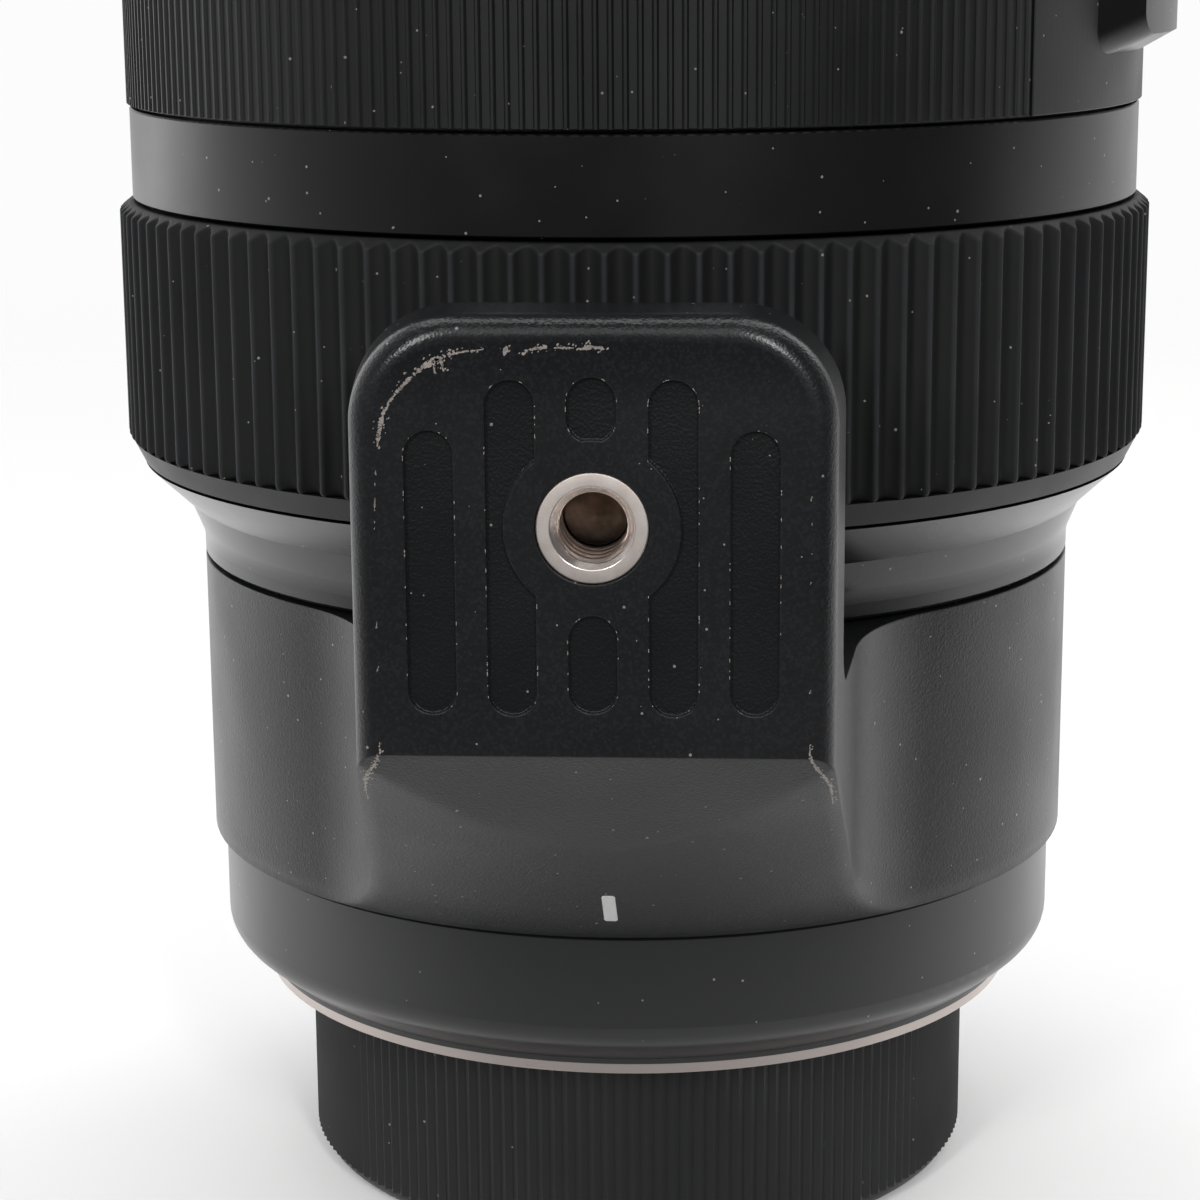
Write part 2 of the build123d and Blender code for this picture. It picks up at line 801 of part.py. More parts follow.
def cam_tube(low, high, groups, roller, turn, key_z):
    """A tube with a helical slot for each roller, so that turning it moves each group evenly."""
    tube = ring(cam_bore_r, cam_r, low, high)
    middle = (cam_bore_r + cam_r) / 2
    depth = cam_wall + 2 * overrun
    width = 2 * (roller + slot_play)
    for start, travel, azimuths in groups:
        for azimuth in azimuths:
            for cut in helical_slot(middle, width, depth, start, travel, turn, azimuth):
                tube -= cut
    return tube - radial_pin(key_r + seat_fit, cam_bore_r - overrun, cam_r + overrun, key_z, key_azimuth)


def cam_barrel():
    groups = (
        (rear_zoom_z, rear_zoom_travel, rear_zoom_azimuths),
        (front_zoom_z, front_zoom_travel, front_zoom_azimuths),
    )
    return cam_tube(zoom_cam_z, zoom_cam_top_z, groups, roller_r, zoom_turn, zoom_key_z)


def focus_cam():
    groups = ((focus_group_z, focus_travel, focus_azimuths),)
    return cam_tube(focus_cam_z, focus_cam_top_z, groups, focus_roller_r, focus_turn, focus_key_z)


def drive_key(height, radius=key_r, start=key_in_r):
    """The pin that joins a grip ring to the cam tube inside it, or its blind hole in the ring."""
    return radial_pin(radius, start, key_out_r, height, key_azimuth)


def outer_barrel():
    """The fixed tube that both grip rings turn on, with an arc-shaped window for each key."""
    barrel = turned(
        (outer_bore_r, neck_flange_z),
        (outer_spigot_r, neck_flange_z),
        (outer_spigot_r, cone_top_z),
        (ring_journal_r, cone_top_z),
        (ring_journal_r, front_z),
        (outer_bore_r, front_z),
    )
    reach = (outer_bore_r - overrun, ring_journal_r + overrun)
    half = key_r + slot_play
    end_span = degrees((key_r + 2 * slot_play) / outer_bore_r)
    for height, turn in ((zoom_key_z, zoom_turn), (focus_key_z, focus_turn)):
        middle = key_azimuth + turn / 2
        barrel -= sector(*reach, height - half, height + half, middle, turn + 2 * end_span)
    return barrel


def focus_motor():
    """The ring motor that turns the focus cam, with a rim that is seated in the outer barrel."""
    body = ring(guide_r + seam, outer_bore_r - seam, motor_z, motor_z + motor_height)
    return body + ring(guide_r + seam, outer_bore_r - seat_fit, motor_z, motor_z + motor_rim_height)


def grip_rubber(low, high):
    """A rubber sleeve with even scalloped flutes and a bevel round its top, one facet to a crest."""
    height = high - low
    flutes = extrude(toothed_face(grip_r, flute_depth, flute_count, flute_shares), height)
    crown_r = (grip_r - grip_bevel) / cos(pi / flute_count)
    corner_shares = ((flute_middle_share, 1),)
    crown = toothed_face(crown_r, 0, flute_count, corner_shares)
    base = toothed_face(crown_r + height, 0, flute_count, corner_shares)
    limits = loft([base, Pos(0, 0, height) * crown], ruled=True)
    return Pos(0, 0, low) * ((flutes & limits) - ring(0, grip_bore_r, 0, height))


def zoom_ring_core():
    """The metal ring under the zoom rubber, with the bevelled rim that shows below it."""
    core = turned(
        (ring_bore_r, zoom_z),
        (rim_low_r, zoom_z),
        (rim_r, zoom_grip_z),
        (grip_core_r, zoom_grip_z),
        (grip_core_r, zoom_top_z),
        (ring_bore_r, zoom_top_z),
    )
    return core - drive_key(zoom_key_z, key_r + seat_fit, ring_journal_r)


def focus_ring_core():
    """The metal ring under the focus rubber, with a seat for the distance scale below."""
    core = turned(
        (scale_r + seat_fit, focus_z),
        (rim_low_r, focus_z),
        (rim_r, focus_grip_z),
        (grip_core_r, focus_grip_z),
        (grip_core_r, focus_grip_top_z),
        (rim_r, focus_grip_top_z),
        (rim_low_r, focus_top_z),
        (ring_bore_r, focus_top_z),
        (ring_bore_r, focus_z + scale_seat),
        (scale_r + seat_fit, focus_z + scale_seat),
    )
    return core - drive_key(focus_key_z, key_r + seat_fit, ring_journal_r)


def smooth_band():
    """The smooth fixed ring between the zoom ring and the sleeve."""
    bevel = edge_break / 2
    flange_low_z = sleeve_z - band_flange_height
    return turned(
        (shell_bore_r, band_z),
        (band_r - bevel, band_z),
        (band_r, band_z + bevel),
        (band_r, band_top_z - bevel),
        (band_r - bevel, band_top_z),
        (shell_bore_r, band_top_z),
        (shell_bore_r, sleeve_z),
        (shell_seat_r, sleeve_z),
        (shell_seat_r, flange_low_z),
        (shell_bore_r, flange_low_z),
    )


def ribbed_sleeve():
    """The fixed sleeve over the scale drum, with the window's opening."""
    bevel = edge_break / 2
    flange_top_z = sleeve_z + sleeve_flange_height
    sleeve = turned(
        (shell_seat_r, sleeve_z),
        (band_r - bevel, sleeve_z),
        (band_r, sleeve_z + bevel),
        (band_r, sleeve_top_z),
        (shell_bore_r, sleeve_top_z),
        (shell_bore_r, flange_top_z),
        (shell_seat_r, flange_top_z),
    )
    reach = (shell_bore_r - overrun, band_r + overrun)
    return sleeve - sector(*reach, window_z, window_z + window_height, window_azimuth, window_span)


def distance_window():
    """The clear curved pane in the sleeve."""
    outer = band_r - window_step
    span = window_span - 2 * degrees(seat_fit / outer)
    low = window_z + seat_fit
    high = window_z + window_height - seat_fit
    return sector(outer - window_wall, outer, low, high, window_azimuth, span)


def switch_block():
    """The raised block on the sleeve with sloping sides and a slot for its sliding knob."""
    high = switch_z + switch_height
    shell = turned(
        (switch_foot_r, switch_z),
        (switch_top_r, switch_z + switch_end_slope),
        (switch_top_r, high - switch_end_slope),
        (switch_foot_r, high),
    )
    top_half_span = switch_half_span - switch_side_slope
    crown_r = switch_top_r / cos(radians(top_half_span))
    plan = [
        outward(switch_azimuth + spread, reach).origin
        for spread, reach in (
            (-switch_half_span, switch_foot_r),
            (-top_half_span, switch_top_r),
            (0, crown_r),
            (top_half_span, switch_top_r),
            (switch_half_span, switch_foot_r),
        )
    ]
    wedge = extrude(make_face(Polyline(*plan, close=True).edges()), switch_height)
    block = shell & Pos(0, 0, switch_z) * wedge
    corners = block.edges().filter_by(
        lambda edge: abs(reach_of(edge @ 0) - reach_of(edge @ 1)) > switch_proud / 2
    )
    block = fillet(corners, switch_corner)
    floor = outward(switch_azimuth, switch_top_r - slot_depth, switch_middle_z)
    return block - extrude(floor * Rectangle(slot_width, slot_height), slot_depth + overrun)


def switch_knob():
    """The sliding knob in the block's slot, with small ridges for the finger."""
    width = slot_width - 2 * slot_play
    length = slot_height - 2 * slot_play - knob_travel
    foot = switch_top_r - slot_depth + running_fit
    middle = switch_middle_z - knob_travel / 2
    height = slot_depth - running_fit + knob_proud
    knob = extrude(outward(switch_azimuth, foot, middle) * Rectangle(width, length), height)
    first = middle - (knob_ridge_count - 1) / 2 * knob_ridge_pitch
    for index in range(knob_ridge_count):
        place = outward(switch_azimuth, foot + height, first + index * knob_ridge_pitch)
        knob -= place * Box(width + overrun, knob_ridge, knob_ridge)
    return knob


def front_barrel():
    """The fixed barrel round the front glass, with the neck and lugs that a hood locks on."""
    barrel = turned(
        (outer_bore_r, front_z),
        (front_barrel_r - edge_break, front_z),
        (front_barrel_r, front_z + edge_break),
        (front_barrel_r, hood_neck_z - edge_break),
        (front_barrel_r - edge_break, hood_neck_z),
        (hood_neck_r, hood_neck_z),
        (hood_neck_r, filter_ring_z),
        (front_bore_r, filter_ring_z),
        (front_bore_r, front_cell_z),
        (outer_bore_r, front_cell_z),
    )
    lug = (hood_neck_r - front_wall / 4, filter_ring_r, filter_ring_z - hood_lug_height, filter_ring_z)
    for azimuth in hood_lug_azimuths:
        barrel += sector(*lug, azimuth, hood_lug_span)
    return barrel


def filter_ring():
    """The front ring: the filter's seat at the mouth and a cone down to the glass."""
    seat_z = front_top_z - filter_thread_length
    return turned(
        (filter_thread_r, front_top_z),
        (filter_thread_r, seat_z),
        (filter_thread_r - filter_step, seat_z),
        (front_glass_r + filter_step, filter_cone_z),
        (front_seat_r, filter_cone_z),
        (front_seat_r, filter_ring_z),
        (filter_ring_r, filter_ring_z),
        (filter_ring_r, front_top_z - edge_break),
        (filter_ring_r - edge_break, front_top_z),
    )


def front_cell():
    """The cell of the front glass, seated on the front barrel's flange."""
    return turned(
        (front_glass_r - front_cell_lip, front_cell_z),
        (front_seat_r, front_cell_z),
        (front_seat_r, front_cell_top_z),
        (front_glass_r + seat_fit, front_cell_top_z),
        (front_glass_r + seat_fit, front_glass_z),
        (front_glass_r - front_cell_lip, front_glass_z),
    )


def front_retainer():
    """The ring that holds the front glass in its cell."""
    low = front_glass_z + front_glass_edge + seam
    high = low + retainer_height
    return turned(
        (retainer_bore_r, low),
        (front_glass_r, low),
        (front_glass_r, high),
        (retainer_bore_r + edge_break, high),
        (retainer_bore_r, high - edge_break),
    )


def foot_side():
    """The outward direction of the foot's drafted side, on the side towards the switch."""
    draft = radians(foot_draft)
    return Vector(cos(draft), -sin(draft), 0)


def foot_outline():
    """The foot's plan: drafted sides that sweep by a cove into the collar's circle."""
    touch = radians(cove_azimuth)
    face = Vector(foot_half_width, -foot_reach, 0)
    side = foot_side()
    spoke = Vector(sin(touch), -cos(touch), 0)
    # The cove's circle touches both the drafted side and the collar's circle at the spoke.
    cove_r = (collar_r * side.dot(spoke) - side.dot(face)) / (1 - side.dot(spoke))
    centre = spoke * (collar_r + cove_r)
    start = centre - side * cove_r
    end = spoke * collar_r
    halfway = centre - (side + spoke).normalized() * cove_r
    edges = [Line((foot_half_width, -foot_reach), (-foot_half_width, -foot_reach)).edge()]
    for hand in (1, -1):
        points = [Vector(point.X * hand, point.Y, 0) for point in (face, start, halfway, end)]
        edges.append(Line(points[0], points[1]).edge())
        edges.append(ThreePointArc(points[1], points[2], points[3]).edge())
        edges.append(Line(points[3], (0, 0)).edge())
    return make_face(edges)


def foot_plate():
    """The plate behind the foot's face, with rounded top corners and rounded rims."""
    back_y = foot_plate_depth - foot_reach
    back_half_width = foot_half_width + foot_plate_depth * tan(radians(foot_draft))
    plan = make_face(Polyline(
        (foot_half_width, -foot_reach),
        (back_half_width, back_y),
        (-back_half_width, back_y),
        (-foot_half_width, -foot_reach),
        close=True,
    ).edges())
    plate = Pos(0, 0, foot_edge_z) * extrude(plan, foot_top_z - foot_edge_z)
    crown = plate.faces().sort_by(Axis.Z)[-1].edges().sort_by(Axis.X)
    plate = fillet([crown[0], crown[-1]], foot_corner)
    face_edges = plate.faces().sort_by(Axis.Y)[0].edges()
    rims = face_edges.filter_by(lambda edge: edge.center().Z > foot_edge_z + overrun)
    return fillet(rims, foot_side_round)


def ramp_cuts():
    """What lies outside the ramp: below a cone round the collar and below a slope to the face."""
    far_r = 2 * foot_reach
    below_z = collar_z - overrun
    cone = turned(
        (collar_r, collar_z),
        (far_r, collar_z + (far_r - collar_r) * ramp_cone_slope),
        (far_r, below_z),
        (collar_r, below_z),
    )
    front = -foot_reach - overrun
    slope = make_face(Polyline(
        (-foot_reach + (foot_edge_z - collar_z) / ramp_plane_slope, collar_z),
        (front, foot_edge_z + ramp_plane_slope * overrun),
        (front, collar_z),
        close=True,
    ).edges())
    return cone, extrude(Plane.YZ * slope, collar_r, both=True)


def foot_pads():
    """The shallow recesses in the foot's face, which leave a round boss about the bush."""
    face = Plane(origin=(0, -foot_reach, bush_z), x_dir=(1, 0, 0), z_dir=(0, 1, 0))
    pads = Part()
    for column, low, high in (
        (-2, outer_pad_low, outer_pad_high),
        (-1, inner_pad_low, inner_pad_high),
        (0, lower_pad_low, lower_pad_high),
        (0, upper_pad_low, upper_pad_high),
        (1, inner_pad_low, inner_pad_high),
        (2, outer_pad_low, outer_pad_high),
    ):
        middle = Pos(column * pad_pitch, -(low + high) / 2)
        pads += extrude(face * middle * SlotOverall(high - low, pad_width, rotation=90), pad_depth)
    return pads - extrude(face * Circle(pad_boss_r), pad_depth + overrun)


def tripod_collar():
    """The collar and its foot in one casting: ring, drafted foot, coves, ramp and lock boss."""
    block = extrude(foot_outline(), collar_height)
    corners = [(foot_half_width * hand, -foot_reach, collar_height / 2) for hand in (1, -1)]
    block = fillet([block.edges().sort_by_distance(corner)[0] for corner in corners], foot_side_round)
    casting = Pos(0, 0, collar_z) * block + foot_plate()
    heel = (0, foot_plate_depth - foot_reach, collar_top_z)
    casting = fillet(casting.edges().sort_by_distance(heel)[0], foot_heel_round)
    casting += ring(collar_bore_r, collar_r, collar_z, collar_top_z)
    for cut in ramp_cuts():
        casting -= cut
    casting -= ring(0, collar_bore_r, collar_z - overrun, foot_top_z)
    casting -= foot_pads()
    casting -= outward(0, bush_start, bush_z) * standing(bush_r + seat_fit, bush_length + overrun)
    boss_start = collar_bore_r + collar_wall / 2
    casting += radial_pin(lock_boss_r, boss_start, lock_boss_end, lock_z, lock_azimuth)
    return casting - radial_pin(lock_screw_r + running_fit, 0, knob_start, lock_z, lock_azimuth)


def tripod_bush():
    """The steel bush in the foot, with a bevelled mouth."""
    bush = turned(
        (bush_bore_r, 0),
        (bush_r, 0),
        (bush_r, bush_length - edge_break),
        (bush_r - edge_break, bush_length),
        (bush_bore_r + bush_bevel, bush_length),
        (bush_bore_r, bush_length - bush_bevel),
    )
    return outward(0, bush_start, bush_z) * bush


def lock_knob():
    """The lobed knob that clamps the collar."""
    outline = Circle(knob_r)
    for index in range(knob_lobe_count):
        outline -= Rot(0, 0, index * 360 / knob_lobe_count) * Pos(knob_r, 0) * Circle(knob_lobe_r)
    limits = turned(
        (0, 0),
        (knob_r - knob_bevel, 0),
        (knob_r, knob_bevel),
        (knob_r, knob_height - knob_bevel),
        (knob_r - knob_bevel, knob_height),
        (0, knob_height),
    )
    socket = standing(lock_screw_r + seat_fit, knob_seat)
    return outward(lock_azimuth, knob_start, lock_z) * ((extrude(outline, knob_height) & limits) - socket)


def lock_screw():
    """The screw that the knob turns, from the knob's socket to the collar's journal."""
    end = knob_start + knob_seat
    return radial_pin(lock_screw_r, collar_bore_r + lock_screw_tip, end, lock_z, lock_azimuth)


rear_zoom = (rear_zoom_z, rear_zoom_length, rear_zoom_wall)
front_zoom = (front_zoom_z, front_zoom_length, front_zoom_wall)
focus = (focus_group_z, focus_group_length, focus_wall)

nodes = {
    "rear_cap": rear_cap,
    "mount_flange": mount_flange,
    "mount_screws": lambda: Compound(flange_bolts()),
    "contact_block": contact_block,
    "contacts": lambda: Compound(contact_pins(contact_r)),
    "rear_barrel": rear_barrel,
    "circuit_board": circuit_board,
    "rear_cell": rear_cell,
    "rear_element": lambda: meniscus(
        rear_glass_r, rear_tube_z + cell_lip_height, rear_glass_edge, rear_glass_bulge),
    "rear_baffle": rear_baffle,
    "iris_housing": iris_housing,
    "iris_cover": iris_cover,
    "iris_ring": iris_ring,
    "neck_shell": neck_shell,
    "guide_barrel": guide_barrel,
    "outer_barrel": outer_barrel,
    "cam_barrel": cam_barrel,
    "zoom_key": lambda: drive_key(zoom_key_z),
    "zoom_ring_core": zoom_ring_core,
    "zoom_rubber": lambda: grip_rubber(zoom_grip_z, zoom_top_z),
    "rear_zoom_cell": lambda: lens_cell(*rear_zoom, roller_r, rear_zoom_azimuths),
    "rear_zoom_glass": lambda: cell_glass(*rear_zoom),
    "rear_zoom_rollers": lambda: rollers(roller_r, rear_zoom_z, rear_zoom_azimuths),
    "front_zoom_cell": lambda: lens_cell(*front_zoom, roller_r, front_zoom_azimuths),
    "front_zoom_glass": lambda: cell_glass(*front_zoom),
    "front_zoom_rollers": lambda: rollers(roller_r, front_zoom_z, front_zoom_azimuths),
    "focus_motor": focus_motor,
    "focus_cam": focus_cam,
    "focus_key": lambda: drive_key(focus_key_z),
    "focus_ring_core": focus_ring_core,
    "focus_rubber": lambda: grip_rubber(focus_grip_z, focus_grip_top_z),
    "distance_scale": lambda: ring(scale_bore_r, scale_r, scale_z, focus_z + scale_seat),
    "focus_cell": lambda: lens_cell(*focus, focus_roller_r, focus_azimuths),
    "focus_glass": lambda: cell_glass(*focus),
    "focus_rollers": lambda: rollers(focus_roller_r, focus_group_z, focus_azimuths),
    "smooth_band": smooth_band,
    "ribbed_sleeve": ribbed_sleeve,
    "distance_window": distance_window,
    "switch_block": switch_block,
    "switch_knob": switch_knob,
    "front_barrel": front_barrel,
    "filter_ring": filter_ring,
    "front_cell": front_cell,
    "front_element": lambda: meniscus(
        front_glass_r, front_glass_z, front_glass_edge, front_glass_bulge),
    "front_retainer": front_retainer,
    "tripod_collar": tripod_collar,
    "tripod_bush": tripod_bush,
    "lock_knob": lock_knob,
    "lock_screw": lock_screw,
}
for blade_index in range(blade_count):
    nodes[f"iris_blade_{blade_index + 1}"] = lambda index=blade_index: iris_blade(index)

os.makedirs("parts", exist_ok=True)
for name, make in nodes.items():
    export_step(make(), f"parts/{name}.step")
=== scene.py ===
# %% [markdown]
# # A camera zoom lens, dressed for its photograph
# The CAD model gives every solid its true place and size. This lesson adds what the eye still misses:
# moulded rubber, fine ribs, a cut thread, worn paint, glass with a coating, and a plain studio.
# The frame comes first, because each new piece is sized from it and rides on one of its bodies.

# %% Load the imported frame
import bmesh
import bpy
import json
import random
from math import cos, degrees, floor, hypot, pi, radians, sin
from mathutils import Matrix, Vector
from mathutils.bvhtree import BVHTree


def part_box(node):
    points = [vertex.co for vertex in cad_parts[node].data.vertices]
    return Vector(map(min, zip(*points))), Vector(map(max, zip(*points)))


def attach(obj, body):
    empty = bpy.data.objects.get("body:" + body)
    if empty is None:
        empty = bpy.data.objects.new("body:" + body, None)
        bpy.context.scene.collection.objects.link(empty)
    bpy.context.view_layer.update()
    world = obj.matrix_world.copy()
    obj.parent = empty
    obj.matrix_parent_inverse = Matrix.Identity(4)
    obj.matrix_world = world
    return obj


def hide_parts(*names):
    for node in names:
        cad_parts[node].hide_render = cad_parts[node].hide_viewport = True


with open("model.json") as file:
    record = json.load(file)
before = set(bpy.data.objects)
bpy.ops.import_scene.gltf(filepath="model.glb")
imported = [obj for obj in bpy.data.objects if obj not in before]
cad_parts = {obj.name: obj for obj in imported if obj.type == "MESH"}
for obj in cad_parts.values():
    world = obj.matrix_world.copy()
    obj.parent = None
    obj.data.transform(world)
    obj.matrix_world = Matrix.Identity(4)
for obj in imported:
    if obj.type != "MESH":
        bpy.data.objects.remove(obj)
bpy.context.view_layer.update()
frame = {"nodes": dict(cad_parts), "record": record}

# %% [markdown]
# ## Millimetres, colours and nodes
# A lens is drawn in millimetres, but Blender works in metres, so one value turns one into the other.
# Paint and plastic are given as sRGB hex values. Shaders want linear light, so one function
# converts them. `node` adds a node, sets it and links it in one line, and the helpers after it are
# short names for what comes back most often.

# %% Small helpers
mm = 0.001


def linear(hex_colour):
    """An sRGB hex colour as the linear values that shaders work in."""
    parts = [int(hex_colour[i:i + 2], 16) / 255 for i in (1, 3, 5)]
    return (*[c / 12.92 if c <= 0.04045 else ((c + 0.055) / 1.055) ** 2.4 for c in parts], 1.0)


def node(tree, kind, inputs=None, **settings):
    """Add a node, set its options, and give its inputs values or the outputs of other nodes."""
    made = tree.nodes.new(kind)
    for name, value in settings.items():
        setattr(made, name, value)
    for name, value in (inputs or {}).items():
        if isinstance(value, bpy.types.NodeSocket):
            tree.links.new(value, made.inputs[name])
        else:
            made.inputs[name].default_value = value
    return made


def added(name, data):
    """A new object in the scene."""
    made = bpy.data.objects.new(name, data)
    bpy.context.scene.collection.objects.link(made)
    return made


def mesh_of(name, points, faces):
    """A new mesh from points in metres and faces of their numbers."""
    mesh = bpy.data.meshes.new(name)
    mesh.from_pydata(points, [], faces)
    return mesh


def maths(tree, operation, *values):
    """The result of one Math node."""
    return node(tree, "ShaderNodeMath", dict(enumerate(values)), operation=operation).outputs[0]


def ramp(tree, value, low, high, to_low=0.0, to_high=1.0, smooth=False):
    """A value carried over from one range to another, and held at both ends."""
    style = "SMOOTHSTEP" if smooth else "LINEAR"
    return node(tree, "ShaderNodeMapRange", {
        "Value": value, "From Min": low, "From Max": high, "To Min": to_low, "To Max": to_high,
    }, interpolation_type=style).outputs["Result"]


def noise(tree, place, size, detail=2.0, distortion=0.0, **settings):
    """Soft random lumps of a real size, as a share from 0 to 1."""
    return node(tree, "ShaderNodeTexNoise", {
        "Vector": place, "Scale": 1 / size, "Detail": detail, "Distortion": distortion,
    }, **settings).outputs["Fac"]


def reach_of(tree, place, scale=(1, 1, 1), shift=(0, 0, 0)):
    """How far a place lies from the origin, once its axes are scaled and then shifted."""
    moved = node(tree, "ShaderNodeMapping", {"Vector": place, "Location": shift, "Scale": scale})
    reach = node(tree, "ShaderNodeVectorMath", {0: moved.outputs[0]}, operation="LENGTH")
    return reach.outputs["Value"]


from_axis = (1, 1, 0)  # the scale that leaves only the distance from the optical axis
print("mid grey #808080 is", round(linear("#808080")[0], 3), "in linear light")

# %% [markdown]
# ## The camera
# The photographer stood close: the camera is 275 mm from the optical axis and looks 13 degrees down.
# These values were fitted to the rims of the rings in the photograph. Its picture angle is that of an
# 89 mm lens on a 36 mm wide sensor. The foot points a little away from the camera, so the camera sits
# 2.8 degrees round towards +X.

# %% Camera
camera_data = bpy.data.cameras.new("studio_camera")
camera_data.sensor_width = 36
camera_data.lens = 89.15
camera_data.clip_start = 10 * mm
camera = added("studio_camera", camera_data)
pitch, yaw, roll, swing = (radians(a) for a in (13.04, -0.70, -0.42, 2.8))
forward = Vector((sin(yaw) * cos(pitch), cos(yaw) * cos(pitch), -sin(pitch)))
level_right = Vector((cos(yaw), -sin(yaw), 0))
level_up = level_right.cross(forward)
right = level_right * cos(roll) + level_up * sin(roll)
up = level_up * cos(roll) - level_right * sin(roll)
stand = Matrix.Rotation(swing, 4, "Z")
axes = Matrix((right, up, -forward)).transposed().to_4x4()
place = Matrix.Translation((0, -275 * mm, 115.8 * mm))
camera.matrix_world = stand @ place @ axes
bpy.context.scene.camera = camera
print("camera at", [round(c / mm) for c in camera.location], "mm")

# %% [markdown]
# ## Soft studio light
# The real picture was taken in a white surround: the rims of the black rings catch pale light from
# the sides and from behind, while the front, where the photographer stands, stays dark. A world whose
# level depends on direction does this without a single wall. It leans to the left, the paler side,
# where a faint window reaches further forward. What the camera sees behind the lens is plain white.
# Glass sees that white too, and gloss sees it where the surround is.

# %% World
bpy.context.scene.view_settings.view_transform = "Standard"
world = bpy.data.worlds.new("white_surround")
world.use_nodes = True
bpy.context.scene.world = world
sky = world.node_tree
sky.nodes.clear()
toward = node(sky, "ShaderNodeTexCoord").outputs["Generated"]
behind = node(sky, "ShaderNodeVectorMath", {0: toward, 1: (-0.16, 0.98, 0)}, operation="DOT_PRODUCT")
surround = ramp(sky, behind.outputs["Value"], -0.38, 0.80, smooth=True)
leftward = node(sky, "ShaderNodeVectorMath", {0: toward, 1: (-0.95, -0.30, 0)}, operation="DOT_PRODUCT")
window = ramp(sky, leftward.outputs["Value"], 0.80, 0.96, 0.0, 0.24, smooth=True)
room_level = maths(sky, "ADD", ramp(sky, surround, 0.0, 1.0, 0.10, 0.78), window)
rays = node(sky, "ShaderNodeLightPath").outputs
seen = maths(sky, "MULTIPLY", rays["Is Glossy Ray"], surround)
seen = maths(sky, "MAXIMUM", rays["Is Camera Ray"], seen)
seen = maths(sky, "MAXIMUM", rays["Is Transmission Ray"], seen)
room = node(sky, "ShaderNodeBackground", {"Color": linear("#fbfbff"), "Strength": room_level})
white = node(sky, "ShaderNodeBackground", {"Color": linear("#fcfcfc")})
view = node(sky, "ShaderNodeMixShader", {0: seen, 1: room.outputs[0], 2: white.outputs[0]})
node(sky, "ShaderNodeOutputWorld", {"Surface": view.outputs[0]})
print("world made with", len(sky.nodes), "nodes")

# %% [markdown]
# Softboxes are large rectangles of light. One hangs over the lens, two stand at the sides and behind,
# and a long, weak one above the camera draws the soft line along the foot's top. A narrow lamp on each
# side of the camera makes the sparkle on the foot's top corners and the bright spots in the bush. The
# camera sees none of them.


# %% Softboxes
def softbox(name, place, width, height, watts):
    """A rectangular lamp that faces the middle of the lens. Its place and sizes are in metres."""
    light = bpy.data.lights.new(name, "AREA")
    light.shape = "RECTANGLE"
    light.size, light.size_y = width, height
    light.energy = watts
    lamp = added(name, light)
    aim = Vector((0, 0, 80 * mm)) - Vector(place)
    lamp.matrix_world = Matrix.Translation(place) @ aim.to_track_quat("-Z", "Y").to_matrix().to_4x4()
    lamp.visible_camera = False


softbox("overhead_softbox", (0.02, 0.16, 0.95), 0.9, 0.7, 3.9)
softbox("front_softbox", (0.02, -0.78, 0.74), 1.1, 0.50, 1.9)
softbox("right_softbox", (0.62, 0.50, 0.75), 0.6, 0.6, 1.8)
softbox("left_softbox", (-0.75, 0.45, 0.35), 0.6, 0.8, 1.6)
softbox("left_lamp", (-0.37, -0.80, 0.48), 0.10, 0.30, 2.1)
softbox("right_lamp", (0.29, -0.84, 0.48), 0.10, 0.30, 2.4)

# %% [markdown]
# ## The floor
# The lens stands on its cap on a white board. The board is a round sheet that fades into the white
# surround, so there is no horizon in any view, and near the cap it keeps the soft shadow. A weak glow,
# which only the camera, gloss and glass see, lifts it to the near-white of the photograph.

# %% Floor
board_r, board_sides = 900 * mm, 64
board_top = -0.05 * mm  # just under the cap, so that the two never share a plane
ring_shares = (0.06, 0.1, 0.2, 0.4, 0.7, 1.0)
corners, faces = [(0, 0, board_top)], []
for share in ring_shares:
    for side in range(board_sides):
        angle = 2 * pi * side / board_sides
        corners.append((board_r * share * cos(angle), board_r * share * sin(angle), board_top))
for side in range(board_sides):
    beside = (side + 1) % board_sides
    faces.append((0, 1 + side, 1 + beside))
    for k in range(len(ring_shares) - 1):
        inner, outer = 1 + board_sides * k, 1 + board_sides * (k + 1)
        faces.append((inner + side, outer + side, outer + beside, inner + beside))
board = added("white_board", mesh_of("white_board", corners, faces))

board_paint = bpy.data.materials.new("matt_white_board")
board_paint.use_nodes = True
tree = board_paint.node_tree
tree.nodes.clear()
spot = node(tree, "ShaderNodeTexCoord").outputs["Object"]
seen_fade = ramp(tree, reach_of(tree, spot), 0.10, 0.75, smooth=True)
behind_lens = reach_of(tree, spot, scale=(0.4, 1, 1), shift=(0, -0.35, 0))
lit_fade = ramp(tree, behind_lens, 0.33, 0.52, smooth=True)
rays = node(tree, "ShaderNodeLightPath").outputs
fade = node(tree, "ShaderNodeMix", {0: rays["Is Camera Ray"], 2: lit_fade, 3: seen_fade}).outputs[0]
mirrored = maths(tree, "MAXIMUM", rays["Is Glossy Ray"], rays["Is Transmission Ray"])
mirrored = maths(tree, "MULTIPLY", mirrored, 0.34)
lift = maths(tree, "MULTIPLY_ADD", rays["Is Camera Ray"], 0.15, mirrored)
matt = node(tree, "ShaderNodeBsdfDiffuse", {"Color": linear("#f4f3f2")})
glow = node(tree, "ShaderNodeEmission", {"Color": linear("#ffffff"), "Strength": lift})
lit = node(tree, "ShaderNodeAddShader", {0: matt.outputs[0], 1: glow.outputs[0]})
clear = node(tree, "ShaderNodeBsdfTransparent")
edge = node(tree, "ShaderNodeMixShader", {0: fade, 1: lit.outputs[0], 2: clear.outputs[0]})
node(tree, "ShaderNodeOutputMaterial", {"Surface": edge.outputs[0]})
board.data.materials.append(board_paint)
